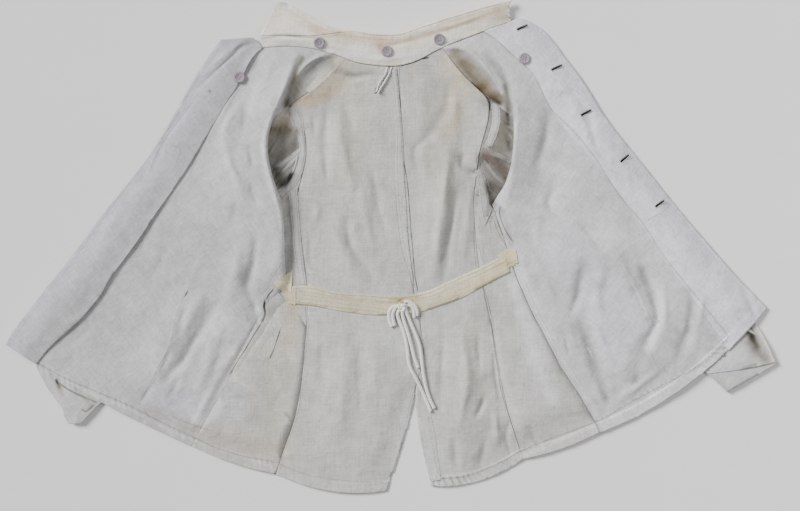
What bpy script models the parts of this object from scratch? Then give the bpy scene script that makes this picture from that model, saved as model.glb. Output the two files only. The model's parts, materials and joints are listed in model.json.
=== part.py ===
"""A linen work tunic laid open on its back, neck at +Y, both fronts turned out, insides up."""

from collections import namedtuple
from math import cos, hypot, pi, radians, sin

import bmesh
import bpy
from mathutils import Matrix, Vector

# Sizes are in millimetres and MM turns them into metres
MM = 0.001
WALL = 1.2
GAP = 0.3
COLLAR_WALL = 1.8
HEM_DEPTH = 16
HEM_STEP = 1.2
HEM_WALL = 2.2
SEWN_GAP = 0.8
FACING_GAP = 0.4

# Middle of the whole laid-out tunic in the sizes below, which becomes the origin
CENTRE = (2, 0)

# Heights of the cloth's underside over the table
REST = 1.5
OVER_SLEEVE = 4.4
NECK_RISE = 2.2
COLLAR_TOP = 8.5
FALL_BEND = 1.2
FALL_FREE = 8
OVER_BUTTONS = 1.9

# Distances from a front's outer edge, or past a sleeve's, where a lift begins and ends
BUTTON_STRIP = (38, 75)
PAST_SLEEVE = (18, 55)

# Roll of a front at its turned inner edge
ROLL = 7
ROLL_REACH = 70
SEAM_RIDGE = 12

# Trimmings
BUTTON = 18
BUTTON_THICK = 3
BUTTON_GAP = 0.5
BUTTON_PITCH = 91
BUTTON_INSET = 22
FRONT_BUTTONS = 5
FIRST_BUTTON = 14
HOLE_LENGTH = 19
HOLE_WIDTH = 3.6
CORD = 5.5
TAPE_WALL = 1.2
LOOP_WIDTH = 6
LOOP_GAP = 0.6

# Each level of the body is one row, from the neck (0) to the hem (15), as (x, y) points on
# its seams: centre back, the back's outer edge and the side seam, on either side.
# The back's outer edge is its shoulder (0 to 2), its armhole (2 to 6), then its side seam.
Level = namedtuple("Level", "centre_left centre_right back_left side_left back_right side_right")
BODY = (
    Level((16, 288), (16, 288), (-72, 302), None, (84, 318), None),
    Level((16, 254), (16, 254), (-112, 258), None, (114, 276), None),
    Level((18, 222), (18, 222), (-160, 226), None, (158, 235), None),
    Level((19, 190), (19, 190), (-139, 197), None, (157, 200), None),
    Level((21, 155), (21, 155), (-133, 155), None, (144, 158), None),
    Level((22, 117), (22, 117), (-139, 117), None, (139, 123), None),
    Level((24, 85), (24, 85), (-147, 88), (-174, 72), (134, 86), (163, 67)),
    Level((26, 46), (26, 46), (-144, 46), (-189, 40), (134, 46), (173, 40)),
    Level((30, -5), (30, -5), (-139, -5), (-198, -8), (139, -5), (186, 2)),
    Level((38, -69), (38, -69), (-131, -66), (-186, -66), (147, -61), (203, -51)),
    Level((50, -130), (50, -130), (-133, -130), (-203, -123), (163, -125), (229, -109)),
    Level((53, -184), (53, -184), (-138, -187), (-230, -165), (171, -181), (253, -155)),
    Level((40, -226), (40, -226), (-144, -238), (-254, -206), (181, -229), (275, -197)),
    Level((35, -261), (42, -261), (-155, -285), (-277, -246), (189, -264), (301, -235)),
    Level((16, -318), (50, -318), (-170, -325), (-298, -283), (202, -306), (318, -264)),
    Level((-6, -390), (66, -382), (-182, -363), (-317, -318), (213, -339), (336, -296)),
)
SHOULDER = 2
UNDERARM = 6
VENT = 12
HEM = len(BODY) - 1

# Each front has a row for each level: its outer edge, the crest of its turned inner edge,
# its hidden armhole edge, the facing's width, and the heights of the crest and of that edge.
Front = namedtuple("Front", "outer crest armhole facing lift end")
FRONT_LEFT = (
    Front((-270, 331), (-144, 320), None, 68, 0, NECK_RISE),
    Front((-293, 299), (-150, 290), None, 69, 12, 0.6),
    Front((-317, 261), (-163, 254), None, 75, 16, 1.8),
    Front((-339, 221), (-184, 206), (-205, 190), 71, 20, 3.4),
    Front((-368, 170), (-192, 163), (-227, 155), 71, 21, 3.4),
    Front((-395, 130), (-187, 120), (-214, 107), 74, 21, 3.4),
    Front((-424, 94), (-176, 82), None, 78, 20, 3.4),
    Front((-456, 56), (-168, 43), None, 83, 18, 3.4),
    Front((-488, 11), (-166, -5), None, 85, 16, 3.4),
    Front((-525, -37), (-165, -55), None, 86, 10, 3.0),
    Front((-544, -59), None, None, 88, 5, 0),
    Front((-560, -80), None, None, 84, 5, 0),
    Front((-574, -98), None, None, 78, 4, 0),
    Front((-589, -117), None, None, 69, 4, 0),
    Front((-603, -136), None, None, 62, 2, 0),
    Front((-614, -155), None, None, 57, 0, 0),
)
FRONT_RIGHT = (
    Front((208, 368), (117, 331), None, 63, 0, NECK_RISE),
    Front((245, 347), (146, 291), None, 66, 9, 0.6),
    Front((282, 299), (171, 261), None, 60, 14, 1.8),
    Front((309, 264), (192, 222), (211, 194), 67, 18, 3.4),
    Front((336, 219), (195, 179), (230, 155), 70, 18, 3.4),
    Front((363, 181), (192, 139), (214, 110), 67, 18, 3.4),
    Front((397, 139), (187, 101), None, 66, 15, 3.4),
    Front((429, 99), (178, 60), None, 67, 9, 3.2),
    Front((462, 58), None, None, 70, 6, 0),
    Front((490, 25), None, None, 71, 6, 0),
    Front((513, -2), None, None, 74, 5, 0),
    Front((533, -25), None, None, 75, 5, 0),
    Front((551, -45), None, None, 75, 4, 0),
    Front((568, -63), None, None, 76, 3, 0),
    Front((585, -80), None, None, 77, 2, 0),
    Front((602, -98), None, None, 78, 0, 0),
)
# How far each panel's hem bows down between its ends
HEM_BOW = {"back": 14, "side": 6, "front_left": 8, "front_right": 27}
# Rise of the left front's top edge beside the end of the collar, at each facing column
NOTCH = (0, 2, 5, 8)

# Each sleeve from its head to its cuff, as its outer and inner edges. The second row is
# where the under layer meets the side panel, and the upper layer has no such row.
Sleeve = namedtuple("Sleeve", "outer inner")
SLEEVE_LEFT = (
    Sleeve((-160, 226), (-147, 88)),
    Sleeve((-196, 202), (-178, 71)),
    Sleeve((-240, 171), (-214, -5)),
    Sleeve((-328, 75), (-280, -101)),
    Sleeve((-432, -45), (-352, -165)),
    Sleeve((-528, -149), (-424, -221)),
    Sleeve((-566, -190), (-451, -242)),
    Sleeve((-544, -232), (-464, -250)),
    Sleeve((-522, -256), (-471, -257)),
    Sleeve((-520, -270), (-483, -270)),
    Sleeve((-512, -282), (-494, -282)),
)
SLEEVE_RIGHT = (
    Sleeve((158, 235), (134, 86)),
    Sleeve((208, 206), (167, 66)),
    Sleeve((272, 171), (224, -13)),
    Sleeve((384, 75), (312, -93)),
    Sleeve((496, -24), (408, -157)),
    Sleeve((568, -93), (480, -189)),
    Sleeve((602, -152), (509, -202)),
    Sleeve((618, -186), (539, -232)),
)
CUFF_RIGHT_TOP = Sleeve((614, -184), (556, -196))
SLEEVE_BULGE = 1.2

# The collar from left to right: the neck seam at x, the stand's top, the fall's outline
Collar = namedtuple("Collar", "x seam_y top_dx top_y tip_dx tip_y depth")
COLLAR = (
    Collar(-203, 318, -6, 335, 22, 390, 58),
    Collar(-176, 320, 0, 337, 8, 391, 57),
    Collar(-150, 320, 0, 336, 4, 379, 57),
    Collar(-126, 317, 2, 335, 6, 361, 56),
    Collar(-102, 311, 2, 338, 5, 350, 54),
    Collar(-80, 304, 4, 341, 4, 344, 52),
    Collar(-58, 295, 3, 341, 3, 344, 52),
    Collar(-32, 290, 0, 337, 0, 340, 52),
    Collar(14, 288, 0, 336, 0, 339, 52),
    Collar(48, 298, -4, 346, -4, 349, 50),
    Collar(74, 313, -6, 354, -6, 357, 48),
    Collar(98, 324, -5, 362, -5, 365, 46),
    Collar(120, 332, 0, 370, 0, 373, 45),
    Collar(150, 344, 2, 380, 2, 383, 44),
    Collar(187, 358, 3, 389, 3, 392, 44),
    Collar(196, 361, 0, 389, 0, 392, 44),
)

# The waist tape across the back: its upper and lower edge
Tape = namedtuple("Tape", "upper lower")
TAPE = (
    Tape((-156, -63), (-158, -91)),
    Tape((-126, -62), (-126, -93)),
    Tape((-85, -72), (-85, -101)),
    Tape((-34, -75), (-34, -108)),
    Tape((2, -78), (0, -108)),
    Tape((42, -75), (46, -104)),
    Tape((69, -67), (75, -95)),
    Tape((98, -53), (108, -84)),
    Tape((123, -42), (138, -68)),
    Tape((157, -26), (166, -53)),
    Tape((180, -13), (192, -40)),
)

# The largest soft folds, each from one end to the other, with height and half its width
Fold = namedtuple("Fold", "start end height half")
BACK_FOLDS = (
    Fold((-86, 280), (-146, 230), 7, 24),
    Fold((107, 290), (150, 238), 7, 24),
    Fold((-78, 170), (-38, 60), 4, 34),
    Fold((-82, 40), (-50, -30), 3, 28),
    Fold((84, 180), (74, -10), 6, 32),
    Fold((-100, -150), (-92, -300), 3, 34),
    Fold((112, -160), (128, -290), 4, 34),
    Fold((-10, -150), (-30, -320), 2, 26),
)
FRONT_FOLDS = (
    Fold((-258, 236), (-256, 110), 6, 34),
    Fold((-256, 110), (-226, 30), 5, 30),
    Fold((-236, -10), (-262, -120), 5, 34),
    Fold((-320, -90), (-372, -210), 5, 40),
    Fold((-420, 20), (-500, -110), 3, 40),
    Fold((250, 190), (300, 90), 4, 40),
    Fold((270, -10), (330, -150), 5, 36),
    Fold((350, 10), (380, -130), 5, 40),
    Fold((440, -60), (420, -190), 5, 40),
    Fold((470, 30), (560, -80), 3, 36),
)

# The drawstring: each strand's route from the knot at the eyelet, as x, y
KNOT = (20, -98)
KNOT_SIZE = (17, 14, 8)
STRANDS = {
    "drawstring_a": (
        (12, -107), (15, -118), (21, -133), (27, -158),
        (30, -188), (38, -212), (51, -238), (64, -262),
    ),
    "drawstring_b": (
        (20, -108), (23, -120), (29, -136),
        (36, -156), (42, -176), (46, -192),
    ),
    "drawstring_c": (
        (27, -106), (33, -120), (42, -142), (50, -166),
        (53, -190), (58, -216), (65, -238), (73, -256),
    ),
    "drawstring_ear_left": ((10.5, -94), (5, -95), (-1, -103), (-1, -116), (3, -127)),
    "drawstring_ear_right": ((28, -92), (34, -94), (38, -101), (39, -112)),
}
# How far below the eyelet's height a strand leaves the tape, and how far above it first is
OFF_TAPE = (8, 24)

# The buttonholes in the right front, as x, y and tilt
Hole = namedtuple("Hole", "x y tilt")
HOLES = (
    Hole(211, 350, 24),
    Hole(266, 286, 26),
    Hole(313, 214, 28),
    Hole(374, 141, 40),
    Hole(430, 69, 35),
)
BAND_BUTTONS = ((-112, 326), (-5, 312), (78, 331))
FACING_BUTTONS = {"left": (-240, 270), "right": (214, 300)}
HANGER = ((-1, 284), (-12, 266), (-22, 249), (-26, 246), (-25.5, 251), (-16.5, 268), (-6, 284))

# Each patch pocket covers some rows and columns of its front's points
Pocket = namedtuple("Pocket", "rows columns")
POCKETS = {"left": Pocket((19, 28), (8, 11)), "right": Pocket((18, 26), (6, 11))}

# Divisions of the panels
STEPS = 2
FACING_COLUMNS = 4
PANEL_COLUMNS = 7
ROLL_COLUMNS = 5
BACK_COLUMNS = 8
SIDE_COLUMNS = 3
STAND_COLUMNS = 3
STATION = 9
FALL_OUT_COLUMNS = 4
FALL_UNDER_COLUMNS = 5

LINEN = (0.66, 0.66, 0.64, 1)
LINEN_BACK = (0.62, 0.61, 0.58, 1)
LINEN_COLLAR = (0.72, 0.68, 0.60, 1)
TAPE_COLOUR = (0.68, 0.60, 0.45, 1)
COTTON = (0.80, 0.80, 0.78, 1)
BUTTON_COLOUR = (0.42, 0.36, 0.40, 1)


def start_empty():
    """Clear the scene and make a collection for the tunic and one for its cutters."""
    for obj in list(bpy.data.objects):
        bpy.data.objects.remove(obj)
    folders = {}
    for name in ("work_tunic", "cutters"):
        folders[name] = bpy.data.collections.new(name)
        bpy.context.scene.collection.children.link(folders[name])
    return folders


def material(name, colour, roughness):
    """A Principled material of one colour."""
    made = bpy.data.materials.new(name)
    made.use_nodes = True
    shader = made.node_tree.nodes["Principled BSDF"]
    shader.inputs["Base Color"].default_value = colour
    shader.inputs["Roughness"].default_value = roughness
    shader.inputs["Metallic"].default_value = 0
    return made


def blend(low, high, value):
    """0 below low, 1 above high, and a smooth rise between them."""
    t = min(max((value - low) / (high - low), 0), 1)
    return t * t * (3 - 2 * t)


def hump(distance, half):
    """1 at no distance, falling smoothly to 0 at half a width."""
    return (1 + cos(pi * min(distance / half, 1))) / 2


def from_segment(x, y, start, end):
    """Distance of a place from the straight line between two points."""
    dx = end[0] - start[0]
    dy = end[1] - start[1]
    t = ((x - start[0]) * dx + (y - start[1]) * dy) / (dx * dx + dy * dy)
    t = min(max(t, 0), 1)
    return hypot(x - start[0] - t * dx, y - start[1] - t * dy)


def folds_at(x, y, folds):
    """Height of the soft folds at a place."""
    return max((f.height * hump(from_segment(x, y, f.start, f.end), f.half) for f in folds), default=0)


def through(points, corners=(), steps=STEPS):
    """Even steps along a smooth line through points of any kind, with corners where asked."""
    line = [Vector(p) for p in points]
    last = len(line) - 1
    made = []
    for i in range(last):
        here, there = line[i], line[i + 1]
        before = line[i - 1] if i > 0 and i not in corners else here * 2 - there
        after = line[i + 2] if i + 1 < last and i + 1 not in corners else there * 2 - here
        for step in range(steps):
            t = step / steps
            slope_in = (there - before) / 2
            slope_out = (after - here) / 2
            part_in = t * (1 - t) ** 2
            part_out = t * t * (1 - t)
            made.append(here.lerp(there, t * t * (3 - 2 * t)) + slope_in * part_in - slope_out * part_out)
    made.append(line[last])
    return made


def along(line, count):
    """Points at even distances along a line of points."""
    travelled = [0]
    for a, b in zip(line, line[1:]):
        travelled.append(travelled[-1] + (b - a).length)
    made = []
    place = 0
    for i in range(count + 1):
        target = travelled[-1] * i / count
        while place < len(line) - 2 and travelled[place + 1] < target:
            place += 1
        span = travelled[place + 1] - travelled[place]
        made.append(line[place].lerp(line[place + 1], (target - travelled[place]) / span))
    return made


def collar_at(x, column):
    """One column of the collar's table at a place along the neck, read smoothly."""
    xs = [row.x for row in COLLAR]
    values = [getattr(row, column) for row in COLLAR]
    last = len(xs) - 1
    i = 0
    while i < last - 1 and xs[i + 1] < x:
        i += 1
    span = xs[i + 1] - xs[i]
    t = min(max((x - xs[i]) / span, 0), 1)
    before, after = max(i - 1, 0), min(i + 2, last)
    slope_in = (values[i + 1] - values[before]) / (xs[i + 1] - xs[before]) * span
    slope_out = (values[after] - values[i]) / (xs[after] - xs[i]) * span
    start, end = values[i], values[i + 1]
    smooth = start + (end - start) * t * t * (3 - 2 * t)
    return smooth + slope_in * t * (1 - t) ** 2 - slope_out * t * t * (1 - t)


def seam(column):
    """The points of one body seam at every half level, with corners where it turns sharply."""
    points = [getattr(row, column) for row in BODY]
    first = next(i for i, p in enumerate(points) if p)
    corners = (VENT,) if column.startswith("centre") else (SHOULDER - first, UNDERARM - first)
    return through(points[first:], corners=corners)


def drop_last_half(rows):
    """Leave out the half level above the hem, where the hem's own rows go."""
    return rows[:-2] + rows[-1:]


def with_hem(grid):
    """Put in two rows where the turned-up hem begins."""
    above, hem = grid[-2], grid[-1]
    start, step = [], []
    for a, h in zip(above, hem):
        way = (a - h).normalized()
        start.append(h + way * HEM_DEPTH)
        step.append(h + way * (HEM_DEPTH + HEM_STEP))
    return grid[:-1] + [step, start, hem]


def across(left, right, columns, bow=0):
    """A straight row between two seams, bowed towards the hem, half a gap short at each end."""
    inset = GAP / 2 / (right - left).length
    row = []
    for i in range(columns + 1):
        t = inset + (1 - 2 * inset) * i / columns
        point = left.lerp(right, t)
        row.append(point - Vector((0, bow * 4 * t * (1 - t))))
    return row


def bow_at(level, depth):
    """The hem's bow fades out upwards over the skirt of the tunic."""
    return depth * (max(level - 9, 0) / (HEM - 9)) ** 2


def levels():
    """The level of each row of a full panel."""
    return [i / STEPS for i in range(HEM * STEPS - 1)] + [HEM]


def back_height(x, y, level):
    """Height of the back's underside: flat on the table but for its soft folds and the neck."""
    neck = NECK_RISE * (1 - blend(0, 1, level))
    return neck + folds_at(x, y, BACK_FOLDS) * blend(0, 1, level)


def body_panel(left, right, columns, bow, first=0):
    """A panel between two seams that rests on the table."""
    lines = [drop_last_half(seam(left)), drop_last_half(seam(right))]
    rows = levels()[first * STEPS:]
    lines = [line[-len(rows):] for line in lines]
    grid = []
    for level, a, b in zip(rows, *lines):
        flat = across(a, b, columns, bow_at(level, bow))
        if level == 0:
            flat = [Vector((p.x, collar_at(p.x, "seam_y"))) for p in flat]
        grid.append([Vector((p.x, p.y, back_height(p.x, p.y, level))) for p in flat])
    return with_hem(grid)


def sleeve_lift(x, y, sleeve):
    """How far a front is lifted by the sleeve that lies under it."""
    best = 0
    for a, b in zip(sleeve, sleeve[1:]):
        middle_a = (Vector(a.outer) + Vector(a.inner)) / 2
        middle_b = (Vector(b.outer) + Vector(b.inner)) / 2
        half = (Vector(a.outer) - Vector(a.inner)).length / 2
        past = from_segment(x, y, middle_a, middle_b) - half
        best = max(best, 1 - blend(*PAST_SLEEVE, past))
    return OVER_SLEEVE * best


def front_height(x, y, level, inward, side, sleeve):
    """Height of a front's underside at a distance inward from its outer edge."""
    edge = blend(-2, 14, inward) * (1 - blend(HEM - 1, HEM, level))
    rest = REST * edge
    if side == "left":
        strip = (1 - blend(*BUTTON_STRIP, inward)) * (1 - blend(HEM - 2, HEM - 1, level))
        rest += OVER_BUTTONS * strip * (0.5 + 0.5 * blend(0, 8, inward))
    under = sleeve_lift(x, y, sleeve) * blend(0, 30, inward)
    rest = max(rest, NECK_RISE * (1 - blend(0, 1, level)))
    soft = folds_at(x, y, FRONT_FOLDS) * blend(10, 60, inward) * (1 - blend(HEM - 2.5, HEM - 0.5, level))
    return rest + (under + soft) * blend(0, 1, level)


def front_lines(side, table):
    """The front's outer edge, crest and inner edge at each level, as points, and its sizes."""
    ends, crests = [], []
    for i, row in enumerate(table):
        body = BODY[i]
        shoulder = getattr(body, "back_" + side)
        side_seam = getattr(body, "side_" + side)
        end = Vector(row.armhole or (shoulder if i <= SHOULDER else side_seam))
        ends.append(end)
        if row.crest:
            crests.append(Vector(row.crest))
        else:
            crests.append(end + (Vector(row.outer) - end).normalized() * SEAM_RIDGE)
    open_from = next(i for i, row in enumerate(table) if i and not row.crest)
    outer = through([row.outer for row in table])
    crest = through(crests, corners=(open_from - 1, open_from))
    end = through(ends, corners=(SHOULDER, UNDERARM))
    sizes = through([(row.facing, row.lift, row.end) for row in table], corners=(open_from - 1, open_from))
    return [drop_last_half(line) for line in (outer, crest, end, sizes)]


def front_row(level, outer, crest, end, size, side, sleeve, bow):
    """One row of a front: flat from its edge, over the crest, and back under to its seam."""
    facing, lift, end_z = size
    way = (crest - outer).normalized()
    length = (crest - outer).length
    places = [facing * i / FACING_COLUMNS for i in range(FACING_COLUMNS)]
    reach = length - ROLL - facing
    places += [facing + reach * i / PANEL_COLUMNS for i in range(PANEL_COLUMNS + 1)]
    row = []
    whole = length + (end - crest).length
    for place in places:
        t = place / whole
        flat = outer + way * place - Vector((0, bow_at(level, bow) * 4 * t * (1 - t)))
        if level == 0:
            flat = on_neck(flat, side, len(row))
        z = front_height(flat.x, flat.y, level, place, side, sleeve)
        z += lift * hump(length - place, ROLL_REACH)
        row.append(Vector((flat.x, flat.y, z)))
    start = row[-1]
    if level == 0:
        finish = end - (end - start.xy).normalized() * GAP / 2
        for i in range(1, ROLL_COLUMNS + 1):
            flat = on_neck(start.xy.lerp(finish, i / ROLL_COLUMNS), side, len(row))
            row.append(Vector((flat.x, flat.y, NECK_RISE)))
        return row
    sag = start.xy - (outer + way * places[-1])
    push = ROLL / 3
    turn = crest + way * push + sag * 0.7
    finish = end - (end - outer).normalized() * GAP
    corners = (
        start,
        Vector((turn.x, turn.y, start.z)),
        Vector((turn.x, turn.y, end_z)),
        Vector((finish.x, finish.y, end_z)),
    )
    for i in range(1, ROLL_COLUMNS + 1):
        row.append(bezier(corners, i / ROLL_COLUMNS))
    return row


def on_neck(flat, side, column):
    """Place a point of a front's top row on the neck seam, or on the notch beside the collar."""
    if side == "left" and column < FACING_COLUMNS:
        return flat + Vector((0, NOTCH[column]))
    if COLLAR[0].x <= flat.x <= COLLAR[-1].x:
        return Vector((flat.x, collar_at(flat.x, "seam_y")))
    return flat


def bezier(corners, t):
    """A point on the cubic curve with four corner points."""
    a, b, c, d = corners
    s = 1 - t
    return a * s ** 3 + b * (3 * s * s * t) + c * (3 * s * t * t) + d * t ** 3


def front_panel(side, table, sleeve, bow):
    """A whole front as rows of points on its outer face, from its outer edge inwards."""
    grid = []
    for level, outer, crest, end, size in zip(levels(), *front_lines(side, table)):
        grid.append(front_row(level, outer, crest, end, size, side, sleeve, bow))
    return with_hem(grid)


def normals(grid, turned):
    """A unit normal at each point of a grid, on the garment's inner side."""
    made = []
    for r, row in enumerate(grid):
        above = grid[max(r - 1, 0)]
        below = grid[min(r + 1, len(grid) - 1)]
        line = []
        for c in range(len(row)):
            over = row[min(c + 1, len(row) - 1)] - row[max(c - 1, 0)]
            normal = (below[c] - above[c]).cross(over).normalized()
            line.append(-normal if turned else normal)
        made.append(line)
    return made


def moved_out(grid, distance, turned=False):
    """The grid moved off its surface, to the garment's inner side where distance is positive."""
    sides = normals(grid, turned)
    return [[p + n * distance for p, n in zip(*pair)] for pair in zip(grid, sides)]


def part_of(grid, rows, columns):
    """The points of a grid within some rows and columns, last ones included."""
    return [row[columns[0]:columns[1] + 1] for row in grid[rows[0]:rows[1] + 1]]


def cloth(name, grid, finish, folder, turned=False, wall=WALL, outward=False, hem=False):
    """A wall of cloth on a grid of points, thickened to its inner side, or outward."""
    mesh = bpy.data.meshes.new(name)
    width = len(grid[0])
    points = [tuple(p * MM) for row in grid for p in row]
    faces = []
    for r in range(len(grid) - 1):
        for c in range(width - 1):
            a = r * width + c
            face = (a, a + width, a + width + 1, a + 1)
            faces.append(face[::-1] if turned else face)
    mesh.from_pydata(points, [], faces)
    obj = bpy.data.objects.new(name, mesh)
    mesh.materials.append(finish)
    folder.objects.link(obj)
    solid = obj.modifiers.new("wall", "SOLIDIFY")
    solid.thickness = wall * MM
    solid.offset = -1 if outward else 1
    if hem:
        solid.thickness = HEM_WALL * MM
        group = obj.vertex_groups.new(name="turned_up")
        folded = range((len(grid) - 2) * width, len(grid) * width)
        single = range((len(grid) - 2) * width)
        group.add(list(folded), 1, "REPLACE")
        group.add(list(single), wall / HEM_WALL, "REPLACE")
        solid.vertex_group = "turned_up"
    return obj


def sleeve_layer(table, head, top):
    """One layer of a sleeve, from its head at the armhole to its cuff."""
    columns = len(head) - 1
    bends = [p - head[0].lerp(head[-1], i / columns) for i, p in enumerate(head)]
    grid = []
    for r, layer_row in enumerate(table):
        a, b = Vector(layer_row.outer), Vector(layer_row.inner)
        if r == 0:
            a, b = head[0], head[-1]
        row = []
        for i in range(columns + 1):
            t = i / columns
            flat = a.lerp(b, t) + bends[i] * max(1 - r / 2.5, 0) ** 2
            z = WALL + GAP + SLEEVE_BULGE * sin(pi * t) * blend(-1, 1.5, r) if top else 0
            row.append(Vector((flat.x, flat.y, z)))
        grid.append(row)
    return grid


def sleeve_heads(side, front_ends, body_edge):
    """The armhole lines where the sleeve's under and upper layer are sewn in."""
    first, last = SHOULDER * STEPS, UNDERARM * STEPS
    away = -1 if side == "left" else 1
    clear = Vector((away * SEWN_GAP, 0))
    under = [p + clear for p in body_edge[first:last + 1]]
    upper = [p + clear for p in front_ends[first + 1:last + 1]]
    return under, upper


def build_body(folder, linen, linen_back):
    """The two halves of the back, the two side panels and the two fronts."""
    grids = {
        "back_left": body_panel("back_left", "centre_left", BACK_COLUMNS, HEM_BOW["back"]),
        "back_right": body_panel("centre_right", "back_right", BACK_COLUMNS, HEM_BOW["back"]),
        "side_left": body_panel("side_left", "back_left", SIDE_COLUMNS, HEM_BOW["side"], UNDERARM),
        "side_right": body_panel("back_right", "side_right", SIDE_COLUMNS, HEM_BOW["side"], UNDERARM),
        "front_left": front_panel("left", FRONT_LEFT, SLEEVE_LEFT, HEM_BOW["front_left"]),
        "front_right": front_panel("right", FRONT_RIGHT, SLEEVE_RIGHT, HEM_BOW["front_right"]),
    }
    made = {}
    for name, grid in grids.items():
        finish = linen if name.startswith("front") else linen_back
        made[name] = cloth(name, grid, finish, folder, turned=name == "front_right", hem=True)
    return grids, made


def build_sleeves(folder, linen):
    """Each sleeve as its under and its upper layer, pressed flat."""
    for side, table, front in (("left", SLEEVE_LEFT, FRONT_LEFT), ("right", SLEEVE_RIGHT, FRONT_RIGHT)):
        ends = front_lines(side, front)[2]
        under, upper = sleeve_heads(side, ends, seam("back_" + side))
        turned = side == "right"
        cloth("sleeve_under_" + side, sleeve_layer(table, under, False), linen, folder, turned)
        cuff = (CUFF_RIGHT_TOP,) if turned else table[-1:]
        upper_rows = table[:1] + table[2:-1] + cuff
        cloth("sleeve_top_" + side, sleeve_layer(upper_rows, upper, True), linen, folder, turned)


def build_facings(folder, linen, grids):
    """The facing on the inner side of each front, made from the front's own points."""
    made = {}
    for side in ("left", "right"):
        grid = grids["front_" + side]
        turned = side == "right"
        cut = part_of(grid, (0, len(grid) - 1), (0, FACING_COLUMNS))
        laid = moved_out(cut, WALL + FACING_GAP, turned)
        over_hem = moved_out(cut, HEM_WALL + FACING_GAP, turned)
        laid[-2:] = over_hem[-2:]
        grids["facing_" + side] = laid
        made[side] = cloth("facing_" + side, laid, linen, folder, turned)
    return made


def build_pockets(folder, linen, grids):
    """A patch pocket on the outer side of each front, made from the front's own points."""
    for side, pocket in POCKETS.items():
        turned = side == "right"
        cut = part_of(grids["front_" + side], pocket.rows, pocket.columns)
        cloth("pocket_" + side, moved_out(cut, -GAP, turned), linen, folder, turned, outward=True)


def collar_line(grids):
    """Places along the neck seam, at the points of the panels that are sewn to it."""
    left = grids["front_left"][0][FACING_COLUMNS:]
    right = grids["front_right"][0][::-1]
    points = list(left) + grids["back_left"][0][1:] + grids["back_right"][0][1:] + right[1:]
    xs = sorted(p.x for p in points if COLLAR[0].x <= p.x <= COLLAR[-1].x)
    kept = [xs[0]]
    for x in xs[1:]:
        if x - kept[-1] > STATION:
            kept.append(x)
    kept[-1] = xs[-1]
    return kept


def build_collar(folder, linen_collar, grids):
    """The stand, sewn to the neck, and the fall, turned behind it but for its left corner."""
    stand, fall = [], []
    for x in collar_line(grids):
        seam_point = Vector((x, collar_at(x, "seam_y")))
        top = Vector((x + collar_at(x, "top_dx"), collar_at(x, "top_y")))
        tip = Vector((x + collar_at(x, "tip_dx"), collar_at(x, "tip_y")))
        up = (top - seam_point).normalized()
        low = seam_point + up * SEWN_GAP
        row = []
        for i in range(STAND_COLUMNS + 1):
            t = i / STAND_COLUMNS
            flat = low.lerp(top, t)
            row.append(Vector((flat.x, flat.y, NECK_RISE + (COLLAR_TOP - NECK_RISE) * blend(-0.3, 1, t))))
        stand.append(row)
        fall.append(fall_row(top, tip, up, collar_at(x, "depth")))
    cloth("collar_stand", stand, linen_collar, folder, wall=COLLAR_WALL)
    cloth("collar_fall", fall, linen_collar, folder, wall=COLLAR_WALL)
    grids["collar_stand"] = stand


def fall_row(top, tip, up, depth):
    """One row of the fall: out from the stand's top to its outline, then turned under."""
    out = (tip - top).normalized()
    shown = (tip - top).length
    spare = depth - shown
    low = COLLAR_WALL
    high = COLLAR_TOP - (COLLAR_TOP - low - 2 * FALL_BEND) * blend(0, 40, shown)
    bend = (high - low) / 2
    start = top + up * GAP
    before = [Vector((start.x, start.y, COLLAR_TOP))]
    if spare < FALL_FREE:
        edge = top + out * (shown - FALL_FREE)
        end = top + out * shown
        before.append(Vector((edge.x, edge.y, 1)))
        after = [before[-1], Vector((end.x, end.y, 0))]
        return along(before, FALL_OUT_COLUMNS)[:-1] + along(after, FALL_UNDER_COLUMNS)
    middle = top + out * (shown - bend)
    for i in range(5):
        angle = pi / 2 * i / 4
        flat = middle + out * bend * sin(angle)
        before.append(Vector((flat.x, flat.y, low + bend + bend * cos(angle))))
    after = [before[-1]]
    for i in range(1, 5):
        angle = pi / 2 * (1 + i / 4)
        flat = middle + out * bend * sin(angle)
        after.append(Vector((flat.x, flat.y, low + bend + bend * cos(angle))))
    back = middle - out * max(spare - pi * bend / 2, 2)
    after.append(Vector((back.x, back.y, low)))
    return along(before, FALL_OUT_COLUMNS)[:-1] + along(after, FALL_UNDER_COLUMNS)


def build_tape(folder, cream):
    """The waist tape across the back and side panels."""
    upper = through([row.upper for row in TAPE])
    lower = through([row.lower for row in TAPE])
    height = WALL + GAP
    grid = []
    for a, b in zip(upper, lower):
        middle = a.lerp(b, 0.5)
        grid.append([Vector((p.x, p.y, height)) for p in (a, middle, b)])
    cloth("waist_tape", grid, cream, folder, turned=True, wall=TAPE_WALL)


def build_hanger(folder, linen):
    """The hanger loop at the back of the neck, a narrow strip sewn double."""
    line = along(through(HANGER, steps=4), 18)
    grid = []
    for i, p in enumerate(line):
        way = (line[min(i + 1, len(line) - 1)] - line[max(i - 1, 0)]).normalized()
        side = Vector((-way.y, way.x)) * LOOP_WIDTH / 4
        from_neck = HANGER[0][1] + 4 - p.y
        height = WALL + LOOP_GAP + NECK_RISE * (1 - blend(0, 36, from_neck))
        grid.append([Vector((q.x, q.y, height)) for q in (p - side, p + side)])
    cloth("hanger_loop", grid, linen, folder)


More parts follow.
